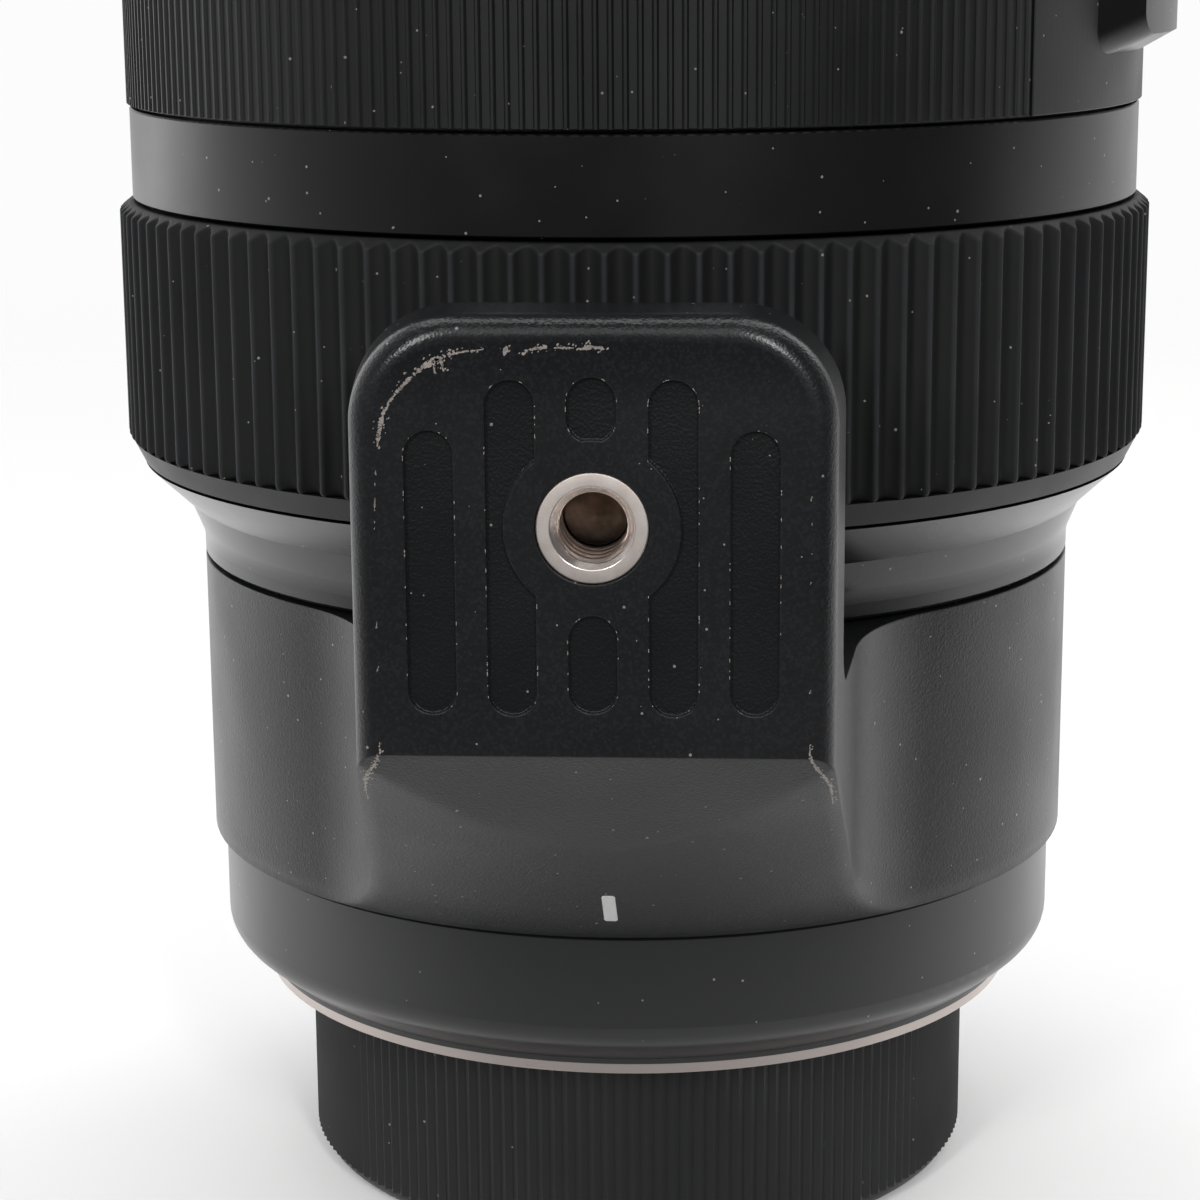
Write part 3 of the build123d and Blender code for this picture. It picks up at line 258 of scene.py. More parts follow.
print("board", round(2 * board_r / mm), "mm across")

# %% [markdown]
# ## What a finish is made of
# Every finish on this lens starts from the same three questions: what is it, how was it made, and what
# has happened to it since. The helpers below answer them: `start` opens a material on Object
# coordinates, `relief` and `grain` give the fine relief of a mould or a paint, `turned_marks` the
# circles of a lathe, and `cloudy` the slight unevenness of any real surface. `covered` and `tinted`
# change the colour from place to place and `glossier` the gloss, `within` picks a range of a
# coordinate, `dust` adds the pale specks of the photograph, and `ready` files the result.

# %% Helpers for finishes
finishes = {}


def start(name, colour, roughness, metallic=0.0, specular=0.5, **sockets):
    """A material with one Principled shader. Returns it, its tree, the shader and the place socket."""
    material = bpy.data.materials.new(name)
    material.use_nodes = True
    material.diffuse_color = linear(colour)
    tree = material.node_tree
    tree.nodes.clear()
    place = node(tree, "ShaderNodeTexCoord").outputs["Object"]
    shader = node(tree, "ShaderNodeBsdfPrincipled", {
        "Base Color": linear(colour), "Roughness": roughness, "Metallic": metallic,
        "Specular IOR Level": specular, **{k.replace("_", " "): v for k, v in sockets.items()}})
    node(tree, "ShaderNodeOutputMaterial", {"Surface": shader.outputs[0]})
    return material, tree, shader, place


def ready(slot, material):
    """File a material under the slot that the record names for it."""
    finishes[slot] = material
    print(slot, "is", material.name, "with", len(material.node_tree.nodes), "nodes")


def relief(tree, shader, height, depth):
    """Raise the surface by a height from 0 to 1 times a real depth, on top of any relief it has."""
    below = shader.inputs["Normal"].links
    bump = node(tree, "ShaderNodeBump", {"Height": height, "Distance": depth})
    if below:
        tree.links.new(below[0].from_socket, bump.inputs["Normal"])
    tree.links.new(bump.outputs[0], shader.inputs["Normal"])


def grain(tree, shader, place, size, depth):
    """The fine relief of a moulded or painted surface: grains of a real size and depth."""
    relief(tree, shader, noise(tree, place, size), depth)


def turned_marks(tree, shader, place, width, depth):
    """Circles round the optical axis, as a lathe tool leaves them on walls and on flat faces."""
    height = node(tree, "ShaderNodeSeparateXYZ", {"Vector": place}).outputs["Z"]
    track = node(tree, "ShaderNodeCombineXYZ", {"X": reach_of(tree, place, from_axis), "Y": height})
    lines = noise(tree, track.outputs[0], width, 1.0, noise_dimensions="2D")
    relief(tree, shader, lines, depth)


def cloudy(tree, shader, place, size, low, high):
    """Roughness that drifts a little over a real distance, as handling and uneven spray leave it."""
    level = ramp(tree, noise(tree, place, size, 3.0), 0.3, 0.7, low, high, smooth=True)
    tree.links.new(level, shader.inputs["Roughness"])


def within(tree, value, low, high):
    """1 where a coordinate lies between two values in mm, and 0 elsewhere."""
    return maths(tree, "COMPARE", value, (low + high) / 2 * mm, (high - low) / 2 * mm)


def covered(tree, shader, share, colour):
    """Cover the base colour with another as a share runs from 0 to 1."""
    mix = node(tree, "ShaderNodeMix", {0: share}, data_type="RGBA")
    base = shader.inputs["Base Color"]
    if base.links:
        tree.links.new(base.links[0].from_socket, mix.inputs["A"])
    else:
        mix.inputs["A"].default_value = base.default_value
    mix.inputs["B"].default_value = linear(colour)
    tree.links.new(mix.outputs["Result"], base)


def tinted(tree, shader, share, colour_low, colour_high):
    """A base colour that runs between two hex colours as a share runs from 0 to 1."""
    shader.inputs["Base Color"].default_value = linear(colour_low)
    covered(tree, shader, share, colour_high)


def glossier(tree, shader, value, low, high, factor):
    """Multiply the roughness by a factor that fades in between two values of a coordinate in mm."""
    level = shader.inputs["Roughness"]
    fade_in = ramp(tree, value, low * mm, high * mm, 1.0, factor)
    tree.links.new(maths(tree, "MULTIPLY", level.links[0].from_socket, fade_in), level)


def dust(tree, shader, place, rarity=0.5):
    """Pale specks on a dark finish. Each cell of a Voronoi pattern may hold one, and few do."""
    cell, speck = 1.2 * mm, 0.13 * mm
    cells = node(tree, "ShaderNodeTexVoronoi", {"Vector": place, "Scale": 1 / cell}).outputs
    chance = node(tree, "ShaderNodeSeparateColor", {"Color": cells["Color"]}).outputs["Red"]
    size = ramp(tree, chance, rarity, 1.0, 0.0, speck / cell)
    covered(tree, shader, maths(tree, "LESS_THAN", cells["Distance"], size), "#8f8c86")


print("finish helpers are ready")

# %% [markdown]
# ## Grip rubber
# The grips are moulded black rubber. It is the most matt thing on the lens: it scatters light in all
# directions and only its crests turn pale, where dust and wear gather. The mould leaves a grain of
# about 0.15 mm, drawn here at 0.3 mm so that it survives at this picture size.

# %% Finish: grip rubber
rubber, tree, shader, place = start("moulded_black_rubber", "#0c0d0e", 0.62, specular=0.38)
grain(tree, shader, place, 0.3 * mm, 0.012 * mm)
cloudy(tree, shader, place, 9 * mm, 0.58, 0.72)
crest = ramp(tree, reach_of(tree, place, from_axis), 46.55 * mm, 46.75 * mm)
worn = maths(tree, "MULTIPLY", crest, noise(tree, place, 6 * mm, 4.0))
tinted(tree, shader, worn, "#0c0d0e", "#333538")
dust(tree, shader, place)
ready("grip_rubber", rubber)

# %% [markdown]
# ## Moulded plastic of the rear cap and the lock knob
# The cap is glass-filled nylon from a fine spark-eroded mould: dark, matt and slightly uneven.

# %% Finish: cap plastic
cap, tree, shader, place = start("moulded_nylon", "#161718", 0.52, specular=0.4)
grain(tree, shader, place, 0.25 * mm, 0.01 * mm)
cloudy(tree, shader, place, 12 * mm, 0.46, 0.60)
dust(tree, shader, place, rarity=0.75)
ready("cap_plastic", cap)

# %% [markdown]
# ## Chrome plate on the mount
# The mount is brass, turned on a lathe and plated with chrome. It mirrors the white surround, and the
# tool marks smear that reflection round the ring. A metal keeps the default IOR.

# %% Finish: mount metal
mount, tree, shader, place = start("turned_chrome_plate", "#b5aca7", 0.30, metallic=1.0)
turned_marks(tree, shader, place, 0.12 * mm, 0.004 * mm)
cloudy(tree, shader, place, 8 * mm, 0.26, 0.38)
ready("mount_metal", mount)

# %% [markdown]
# ## Satin black paint on the castings
# The rear barrel and the neck are die castings under a satin black spray paint. It is smooth enough
# to catch a wide, soft reflection of the board and the surround, and has a very low grain. It is
# duller on the rear barrel, which hands touch most. Where the neck's cone begins, the photograph
# shows a hairline, which is drawn as a dark thread of paint.

# %% Finish: black casting
casting, tree, shader, place = start("satin_spray_paint", "#232425", 0.25, specular=0.6)
grain(tree, shader, place, 0.22 * mm, 0.006 * mm)
cloudy(tree, shader, place, 15 * mm, 0.24, 0.28)
height = node(tree, "ShaderNodeSeparateXYZ", {"Vector": place}).outputs["Z"]
glossier(tree, shader, height, 60, 33, 1.25)
covered(tree, shader, within(tree, height, 63.85, 63.95), "#0c0c0d")
dust(tree, shader, place, rarity=0.72)
ready("black_casting", casting)

# %% [markdown]
# ## Powder coat on the tripod collar
# The collar is cast magnesium with a baked powder coat. Each grain of powder melts into a tiny dome,
# so the surface sparkles faintly and looks lighter at a slant. The domes are about 0.1 mm across and
# are drawn at 0.2 mm. Some are paler, which gives the fine speckle of the photograph. Tripod plates
# have polished the foot's flat face, so the domes are low there. The recesses get a darker colour,
# which is painted shade. Hands have rubbed its top, which is glossier. A cast edge is never sharp: a
# Bevel node rounds the shading of all edges a little, and of the ridge across the ramp by up to 2 mm.

# %% Finish: collar casting
coat, tree, shader, place = start("charcoal_powder_coat", "#1b1c1e", 0.38, specular=0.44)
x, y, z = node(tree, "ShaderNodeSeparateXYZ", {"Vector": place}).outputs
edge_round = ramp(tree, z, 54.5 * mm, 51.5 * mm, 0.22 * mm, 2.2 * mm)
soft_edges = node(tree, "ShaderNodeBevel", {"Radius": edge_round}, samples=6)
tree.links.new(soft_edges.outputs[0], shader.inputs["Normal"])
domes = node(tree, "ShaderNodeTexVoronoi", {"Vector": place, "Scale": 1 / (0.2 * mm)},
             feature="SMOOTH_F1").outputs
unworn = ramp(tree, y, -63.98 * mm, -63.7 * mm, 0.25, 1.0)
relief(tree, shader, maths(tree, "MULTIPLY", domes["Distance"], unworn), 0.03 * mm)
chance = node(tree, "ShaderNodeSeparateColor", {"Color": domes["Color"]}).outputs["Green"]
tinted(tree, shader, ramp(tree, chance, 0.35, 0.8), "#18191a", "#222326")
# The slot recesses get a darker, slightly blue colour: painted shade, for the light that falls less
# into them.
recess_shade = maths(tree, "MULTIPLY", within(tree, y, -63.85, -63.35), within(tree, x, -14.4, 14.4))
recess_shade = maths(tree, "MULTIPLY", recess_shade, within(tree, z, 57.2, 85.0))
covered(tree, shader, recess_shade, "#121415")
cloudy(tree, shader, place, 14 * mm, 0.34, 0.42)
glossier(tree, shader, z, 81, 85, 0.62)
dust(tree, shader, place, rarity=0.35)
ready("collar_casting", coat)

# %% [markdown]
# ## Satin anodised shells
# The smooth band and the front barrel are aluminium tubes, turned and anodised black. The pores of the
# oxide make a satin that turns pale at a slant, and the lathe marks are only just visible.

# %% Finish: black shell
shell, tree, shader, place = start("black_anodised_shell", "#0a0a0b", 0.32)
turned_marks(tree, shader, place, 0.15 * mm, 0.0012 * mm)
grain(tree, shader, place, 0.2 * mm, 0.003 * mm)
cloudy(tree, shader, place, 16 * mm, 0.28, 0.36)
dust(tree, shader, place, rarity=0.35)
ready("black_shell", shell)

# %% [markdown]
# ## Moulded polycarbonate of the ribbed sleeve
# The sleeve is a moulding in black polycarbonate, matt from its mould, with a soft sheen on each rib.

# %% Finish: ribbed shell
sleeve_plastic, tree, shader, place = start("moulded_polycarbonate", "#111213", 0.44)
grain(tree, shader, place, 0.22 * mm, 0.006 * mm)
cloudy(tree, shader, place, 14 * mm, 0.40, 0.50)
dust(tree, shader, place, rarity=0.35)
ready("ribbed_shell", sleeve_plastic)

# %% [markdown]
# ## Bead-blasted rims
# The rings under the rubber are aluminium, bead-blasted and anodised black, so their bevels are a shade
# lighter and quite matt.

# %% Finish: grip core
rim, tree, shader, place = start("bead_blasted_aluminium", "#141517", 0.46, specular=0.4)
grain(tree, shader, place, 0.18 * mm, 0.006 * mm)
cloudy(tree, shader, place, 12 * mm, 0.42, 0.52)
ready("grip_core", rim)

# %% [markdown]
# ## Inside the lens
# The barrels and cells are turned aluminium, anodised a dull black so that no stray light reaches the
# sensor. Turned steel serves for screws, rollers and the bush. The iris blades are spring steel with a
# blackened, rubbed face. The contacts are gold-plated, and green lacquer covers the circuit board.

# %% Finishes: inner metals
barrel, tree, shader, place = start("dull_anodised_barrel", "#18191b", 0.5, specular=0.4)
turned_marks(tree, shader, place, 0.25 * mm, 0.012 * mm)
ready("barrel_alloy", barrel)

steel, tree, shader, place = start("turned_steel", "#ddd3cc", 0.38, metallic=1.0)
relief(tree, shader, noise(tree, place, 0.25 * mm, 3.0, distortion=0.6), 0.006 * mm)
cloudy(tree, shader, place, 2.5 * mm, 0.32, 0.46)
tinted(tree, shader, noise(tree, place, 1.8 * mm, 4.0), "#cfc1b7", "#f0e9e3")
ready("steel", steel)

blade, tree, shader, place = start("blackened_spring_steel", "#2a2b2d", 0.38, metallic=0.8)
cloudy(tree, shader, place, 3 * mm, 0.32, 0.46)
grain(tree, shader, place, 0.15 * mm, 0.003 * mm)
ready("blade_steel", blade)

gold, tree, shader, place = start("gold_plate", "#e0b050", 0.22, metallic=1.0)
cloudy(tree, shader, place, 1.0 * mm, 0.18, 0.30)
ready("gold_contact", gold)

# %% Finishes: inner plastic and the board
inner, tree, shader, place = start("matt_black_moulding", "#0d0d0e", 0.6, specular=0.35)
grain(tree, shader, place, 0.2 * mm, 0.008 * mm)
cloudy(tree, shader, place, 6 * mm, 0.54, 0.66)
ready("inner_plastic", inner)

lacquer, tree, shader, place = start("green_solder_lacquer", "#0f4a26", 0.3, Coat_Weight=0.4)
weave = node(tree, "ShaderNodeTexChecker", {"Vector": place, "Scale": 1 / (0.8 * mm)})
tinted(tree, shader, weave.outputs["Fac"], "#0d4422", "#125a2f")
cloudy(tree, shader, place, 4 * mm, 0.26, 0.36)
ready("circuit", lacquer)

# %% [markdown]
# ## Optical glass and its coating
# Lens glass is polished to a mirror and coated with layers far thinner than a hair, which cancel most
# of the white reflection and leave a faint violet one. The thin film of the Principled shader does
# just that. The window over the scale is clear acrylic, and lets part of the light straight through,
# so that the scale can be read. A cloth leaves faint smears on both.

# %% Finishes: glass
glass, tree, shader, place = start(
    "coated_optical_glass", "#f4f8fb", 0.0, Transmission_Weight=1.0, IOR=1.6,
    Thin_Film_Thickness=115.0, Thin_Film_IOR=1.38)
smears = ramp(tree, noise(tree, place, 18 * mm), 0.5, 0.9, 0.0, 0.04)
tree.links.new(smears, shader.inputs["Roughness"])
ready("lens_glass", glass)

pane, tree, shader, place = start(
    "clear_acrylic", "#d9dcdd", 0.02, Transmission_Weight=1.0, IOR=1.49, Alpha=0.4)
smears = ramp(tree, noise(tree, place, 5 * mm, 3.0), 0.4, 0.8, 0.0, 0.03)
tree.links.new(smears, shader.inputs["Roughness"])
ready("window_pane", pane)

# %% [markdown]
# ## Dress the CAD solids
# Each solid names a material slot in the record. Its own mesh stays as it is, and only the material in
# its slots changes.

# %% Materials on the CAD nodes
slot_of = {part["node"]: part["material_slot"] for part in frame["record"]["subparts"]}
for name, solid in frame["nodes"].items():
    finish = finishes[slot_of[name]]
    if not solid.material_slots:
        solid.data.materials.append(finish)
    for held in solid.material_slots:
        held.material = finish
print("dressed", len(slot_of), "solids with", len(set(slot_of.values())), "finishes")

# %% [markdown]
# ## Skins
# Most new pieces are a grid of points wrapped into a closed skin. `skin` joins neighbouring rows and
# columns, and closes the rows, the columns or both. `merged` makes one mesh of many small ones, and
# `placed` puts a finished mesh into the scene.


# %% Skins
def placed(name, mesh, body, slot, finish=None, smooth=True):
    """A finished mesh as an object at the origin that rides on a body."""
    mesh.name = name
    if smooth:
        mesh.shade_smooth()
    piece = added(name, mesh)
    if not mesh.materials:
        mesh.materials.append(finish or finishes[slot])
    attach(piece, body)
    print(name, "has", len(mesh.polygons), "faces and rides on", body)
    return piece


def skin(name, rows, rows_close=True, columns_close=False):
    """A mesh over rows of points in metres. Neighbours are joined, and on request the ends too."""
    width = len(rows[0])
    points = [p for row in rows for p in row]
    quads = []
    for i in range(len(rows) if rows_close else len(rows) - 1):
        for j in range(width if columns_close else width - 1):
            a, b = i * width, (i + 1) % len(rows) * width
            quads.append((a + j, a + (j + 1) % width, b + (j + 1) % width, b + j))
    return mesh_of(name, points, quads)


def merged(name, parts):
    """One mesh from several pairs of points and faces."""
    points, faces = [], []
    for some_points, some_faces in parts:
        start_at = len(points)
        points += some_points
        faces += [tuple(start_at + i for i in face) for face in some_faces]
    return mesh_of(name, points, faces)


print("skins are ready")

# %% [markdown]
# ## A ring of equal pieces
# Flutes, ribs and scale marks all repeat round the optical axis. A Geometry Nodes tree says it best:
# take one tile, turn a copy of it to each place, weld the seams and set the finish. Its sizes are
# named inputs, so one tree serves every ring.

# %% The ring tree
ring_tree = bpy.data.node_groups.new("ring_of_tiles", "GeometryNodeTree")
for label, kind in (("Tile", "Geometry"), ("Count", "Int"), ("First Azimuth", "Float"),
                    ("Pitch", "Float"), ("Weld", "Float"), ("Finish", "Material")):
    ring_tree.interface.new_socket(label, in_out="INPUT", socket_type="NodeSocket" + kind)
ring_tree.interface.new_socket("Ring", in_out="OUTPUT", socket_type="NodeSocketGeometry")
given = node(ring_tree, "NodeGroupInput").outputs
points = node(ring_tree, "GeometryNodePoints", {"Count": given["Count"]})
number = node(ring_tree, "GeometryNodeInputIndex")
turn = maths(ring_tree, "MULTIPLY_ADD", number.outputs[0], given["Pitch"], given["First Azimuth"])
angles = node(ring_tree, "ShaderNodeCombineXYZ", {"Z": turn})
turned = node(ring_tree, "FunctionNodeEulerToRotation", {"Euler": angles.outputs[0]})
copies = node(ring_tree, "GeometryNodeInstanceOnPoints", {
    "Points": points.outputs[0], "Instance": given["Tile"], "Rotation": turned.outputs[0]})
real = node(ring_tree, "GeometryNodeRealizeInstances", {"Geometry": copies.outputs[0]})
welded = node(ring_tree, "GeometryNodeMergeByDistance", {
    "Geometry": real.outputs[0], "Distance": given["Weld"]})
finished = node(ring_tree, "GeometryNodeSetMaterial", {
    "Geometry": welded.outputs[0], "Material": given["Finish"]})
node(ring_tree, "NodeGroupOutput", {"Ring": finished.outputs[0]})


def ring_of(tile, count, finish, first=0.0, pitch=None, weld=0.0):
    """Run the ring tree on one tile and return the result as a plain mesh."""
    carrier = added("tile", tile)
    modifier = carrier.modifiers.new("ring", "NODES")
    modifier.node_group = ring_tree
    sizes = {"Count": count, "First Azimuth": first, "Pitch": pitch or 2 * pi / count,
             "Weld": weld, "Finish": finish}
    for item in ring_tree.interface.items_tree:
        if item.in_out == "INPUT" and item.name in sizes:
            modifier[item.identifier] = sizes[item.name]
    shown = carrier.evaluated_get(bpy.context.evaluated_depsgraph_get())
    mesh = bpy.data.meshes.new_from_object(shown)
    bpy.data.objects.remove(carrier)
    return mesh


print("ring tree has", len(ring_tree.nodes), "nodes")

# %% [markdown]
# ## Fluted rubber
# The grip is a rubber sleeve with 120 hollows between narrow crests, so one hollow is the tile. Across
# it, the depth follows a table from crest to crest. Along it, the profile goes up the outside, over the
# bevel and down the bore. The bevel is a cone that cuts the crests first, and that alone makes the
# arches at the top of each hollow.

# %% Grips
flute_count = 120
flute_depth = 0.75
hollow = [(0.0, 0.0), (0.03, 0.008), (0.06, 0.05), (0.10, 0.16), (0.15, 0.33), (0.21, 0.53),
          (0.28, 0.71), (0.36, 0.87), (0.44, 0.97), (0.5, 1.0)]  # shares of the pitch and the depth
across = hollow + [(1 - share, deep) for share, deep in hollow[-2::-1]]


def flute_tile(low, high):
    """One hollow of a grip between two heights in mm, from crest to crest, closed round its profile."""
    crest_r, bore_r, bevel, slope = 46.75, 44.85, 0.95, 1.25
    rows = []
    tall = high - low
    lift = [0.0, 0.12, 0.35, 1.2, 6.0, tall - 6.0, tall - 1.6]
    lift += [tall - 1.2 + 0.12 * k for k in range(10)] + [tall]
    for up in lift:
        row = []
        for share, deep in across:
            reach = crest_r - flute_depth * deep
            reach -= max(0.0, 0.35 - up) ** 2 / 0.35 * 0.8  # the small round at the foot
            cone = crest_r - bevel + (tall - up) * slope
            soft = 0.10  # how far the arch's edge is rounded
            gap = cone - reach
            if gap < soft:
                reach = cone if gap < -soft else reach - (soft - gap) ** 2 / (4 * soft)
            row.append((reach, share, low + up))
        rows.append(row)
    rows.append([(bore_r, share, high) for share, _ in across])
    rows.append([(bore_r, share, low) for share, _ in across])
    pitch = 2 * pi / flute_count
    return [[(r * mm * cos(s * pitch), r * mm * sin(s * pitch), z * mm) for r, s, z in row]
            for row in rows]


for name, body in (("zoom_rubber", "zoom_ring"), ("focus_rubber", "focus_ring")):
    low, high = (corner.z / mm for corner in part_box(name))
    tile = skin("flute", flute_tile(low, high))
    grip = placed(name + "_fluted", ring_of(tile, flute_count, rubber, weld=0.001 * mm),
                  body, "grip_rubber")
    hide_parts(name)

# %% [markdown]
# ## Ribs of the sleeve
# The sleeve has 250 fine upright ribs, but none round the switches, where a smooth panel lies flush
# with their tops, and only short ones above and below the window. Each rib is a little bar with a
# narrow top, set into the sleeve. Four runs of the ring tree make them all.

# %% Sleeve ribs
rib_count = 250
rib_pitch = 2 * pi / rib_count
rib_root_r, rib_top_r = 45.45, 45.77


def prism(name, section, low, high):
    """A closed upright bar at +X over a section of (reach, sideways) points. All sizes are in mm."""
    sides = len(section)
    points = [(r * mm, y * mm, z * mm) for z in (low, high) for r, y in section]
    walls = [(j, (j + 1) % sides, (j + 1) % sides + sides, j + sides) for j in range(sides)]
    return mesh_of(name, points, walls + [tuple(range(sides))[::-1], tuple(range(sides, 2 * sides))])


def rib_tile(low, high):
    """One rib between two heights in mm, with a rounded top and a wider root."""
    half = [(rib_root_r, 0.30), (45.56, 0.26), (rib_top_r - 0.05, 0.14), (rib_top_r, 0.09)]
    return prism("rib", [(r, -y) for r, y in half] + half[::-1], low, high)


sleeve_low, sleeve_high = (corner.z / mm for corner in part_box("ribbed_sleeve"))
pane_low, pane_high = (corner.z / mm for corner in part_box("distance_window"))
panel_from, panel_to = 47.5, 108.5  # azimuths in degrees of the smooth panel's ends
window_half = 17.2  # half of the window's angle with its frame, in degrees
azimuth_of_x = 90  # the ring tree counts from +X, and azimuths on this lens from -Y


def rib_run(start_azimuth, end_azimuth, low, high):
    """All ribs between two azimuths in degrees and two heights in mm, as a plain mesh."""
    count = floor(radians(end_azimuth - start_azimuth) / rib_pitch)
    first = radians(start_azimuth - azimuth_of_x) + rib_pitch / 2
    return ring_of(rib_tile(low, high), count, sleeve_plastic, first, rib_pitch)


foot_z, head_z = sleeve_low + 0.12, sleeve_high - 0.05
pane_from, pane_to = 180 - window_half, 180 + window_half
frame_width = 0.6  # the smooth frame above and below the window
runs = [
    rib_run(panel_to, pane_from, foot_z, head_z),
    rib_run(pane_from, pane_to, foot_z, pane_low - frame_width),
    rib_run(pane_from, pane_to, pane_high + frame_width, head_z),
    rib_run(pane_to, 360 + panel_from, foot_z, head_z),
]


def joined(name, meshes):
    """Several meshes as one."""
    return merged(name, [([tuple(v.co) for v in mesh.vertices],
                          [tuple(f.vertices) for f in mesh.polygons]) for mesh in meshes])


placed("sleeve_ribs", joined("sleeve_ribs", runs), "lens_body", "ribbed_shell", smooth=False)

# %% [markdown]
# The smooth panel is a curved plate as high as the ribs. A grid bent round the axis makes its face,
# and the same skin closes its edges and its back.


# %% Panel round the switches
def curved_plate(name, from_azimuth, to_azimuth, low, high, steps):
    """A closed plate as thick as the ribs are high, with a small bevel along its edges. Sizes in mm."""
    edge = 0.08
    rows = []
    for reach, inset in ((rib_root_r, 0), (rib_top_r - edge, 0), (rib_top_r, edge)):
        a, b = from_azimuth + degrees(inset / reach), to_azimuth - degrees(inset / reach)
        row = [(a + (b - a) * k / steps, low + inset) for k in range(steps + 1)]
        row += [(b + (a - b) * k / steps, high - inset) for k in range(steps + 1)]
        rows.append([(reach * mm * sin(radians(t)), -reach * mm * cos(radians(t)), z * mm)
                     for t, z in row])
    walls = skin(name, rows, rows_close=False, columns_close=True)
    faces = [tuple(p.vertices) for p in walls.polygons]
    bpy.data.meshes.remove(walls)
    ring_size = 2 * (steps + 1)
    for base, outside in ((0, False), (2 * ring_size, True)):
        for k in range(steps):
            quad = (base + k, base + k + 1, base + ring_size - 2 - k, base + ring_size - 1 - k)
            faces.append(quad if outside else quad[::-1])
    return mesh_of(name, [p for row in rows for p in row], faces)


plate = curved_plate("switch_panel", panel_from, panel_to, sleeve_low + 0.06, sleeve_high - 0.04, 61)
placed("switch_panel", plate, "lens_body", "ribbed_shell", smooth=False)

# %% [markdown]
# ## The bush and its thread
# The bush is turned steel with a quarter-inch thread of 20 turns to the inch, so its pitch is 1.27 mm.
# A screw modifier would make a thread, but its ends need trimming. A grid round the hole is simpler:
# at each point the wall steps back by a depth that depends on height and turn, which makes a
# true helix, and the same grid carries on over the bevel, the flat face and the outside. Rows close
# to an edge on both sides keep it crisp under smooth shading. Camera plates have dulled the faced
# ring, and the screw has polished the bevel and the thread.

# %% Threaded bush
bush_low, bush_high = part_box("tripod_bush")
bush_z = (bush_low.z + bush_high.z) / 2
mouth_y, floor_y = bush_low.y, bush_high.y
thread_pitch, thread_depth, bush_bore = 1.27 * mm, 0.45 * mm, 2.54 * mm
bush_outer = (bush_high.x - bush_low.x) / 2
turns_round, steps = 72, 88
bevel_depth, bevel_width = 0.60 * mm, 0.60 * mm


def bush_row(reaches, y):
    """Points round the bush's axis at one depth, each with its own reach from the axis."""
    angles = [2 * pi * t / len(reaches) for t in range(len(reaches))]
    return [(r * cos(a), y, bush_z + r * sin(a)) for r, a in zip(reaches, angles)]


def thread_step(depth_in, angle):
    """How far the wall steps back at a depth and an angle: V grooves with a flat crest and root."""
    phase = (depth_in / thread_pitch + angle / (2 * pi)) % 1
    ramp_up = abs(2 * phase - 1)  # 1 on a crest, 0 at a root
    return thread_depth * min(1.0, max(0.0, (0.88 - ramp_up) / 0.7))


rows = []
for k in range(steps + 1):
    depth_in = (floor_y - mouth_y) * (1 - k / steps)
    rise = max(0.0, 1 - depth_in / bevel_depth)
    cuts = [thread_step(depth_in, 2 * pi * t / turns_round) if k else 0.0 for t in range(turns_round)]
    rows.append(bush_row([max(bush_bore + cut, bush_bore + bevel_width * rise) for cut in cuts],
                         mouth_y + depth_in))
face_from, face_to = bush_bore + bevel_width + 0.04 * mm, bush_outer - 0.14 * mm
for reach, y in ((face_from, mouth_y), (face_to, mouth_y), (face_to + 0.04 * mm, mouth_y + 0.01 * mm),
                 (bush_outer, mouth_y + 0.12 * mm), (bush_outer, floor_y)):
    rows.append(bush_row([reach] * turns_round, y))
faced, tree, shader, place = start("faced_steel", "#ede4dd", 0.3, metallic=1.0)
reach = reach_of(tree, place, scale=(1, 0, 1), shift=(0, 0, -bush_z))
tree.links.new(ramp(tree, reach, 3.12 * mm, 3.2 * mm, 0.24, 0.56), shader.inputs["Roughness"])
tinted(tree, shader, noise(tree, place, 1.6 * mm, 4.0), "#d8c8bd", "#fbf6f2")
relief(tree, shader, noise(tree, place, 0.22 * mm, 3.0), 0.006 * mm)
bush_mesh = skin("threaded_bush", rows, columns_close=True)
bush_mesh.flip_normals()  # the rows run up the bore and down the outside, which faces them inwards
bush = placed("threaded_bush", bush_mesh, "collar", "steel", faced)
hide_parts("tripod_bush")
print("bush thread:", round(abs(floor_y - mouth_y) / thread_pitch, 1), "turns")

# %% [markdown]
# The bottom of the hole is brown in the photograph: old thread sealant on the casting, in blots. It is
# painted lighter at the top and darker towards the bottom, as painted light and shade. A thin dished
# plug in the end of the bush shows it.

# %% Bottom of the bush
sealant_and_shade, tree, shader, place = start("dried_sealant_and_painted_shade", "#7b5f4e", 0.7, specular=0.3)
blots = noise(tree, place, 0.9 * mm, 4.0)
height = node(tree, "ShaderNodeSeparateXYZ", {"Vector": place}).outputs["Z"]
# Painted light and shade: the blotchy sealant colour is lighter towards the top and darker towards the
# bottom.
lit_top_shaded_bottom = ramp(tree, height, bush_z - 2.2 * mm, bush_z + 1.2 * mm)
tinted(tree, shader, maths(tree, "MULTIPLY", blots, lit_top_shaded_bottom), "#140f0c", "#e2bda4")
relief(tree, shader, blots, 0.05 * mm)
dish = ((0.01, 0.9), (0.8, 0.85), (1.6, 0.7), (2.3, 0.45), (2.5, 0.3), (2.5, 0.1),
        (0.01, 0.1))  # reach from the axis and height over the bush's end, in mm
plug_sides = 32
rows = [bush_row([reach * mm] * plug_sides, floor_y - inset * mm) for reach, inset in dish]
plug_mesh = skin("bush_plug", rows, columns_close=True)
plug_mesh.flip_normals()
placed("bush_plug", plug_mesh, "collar", "steel", sealant_and_shade)

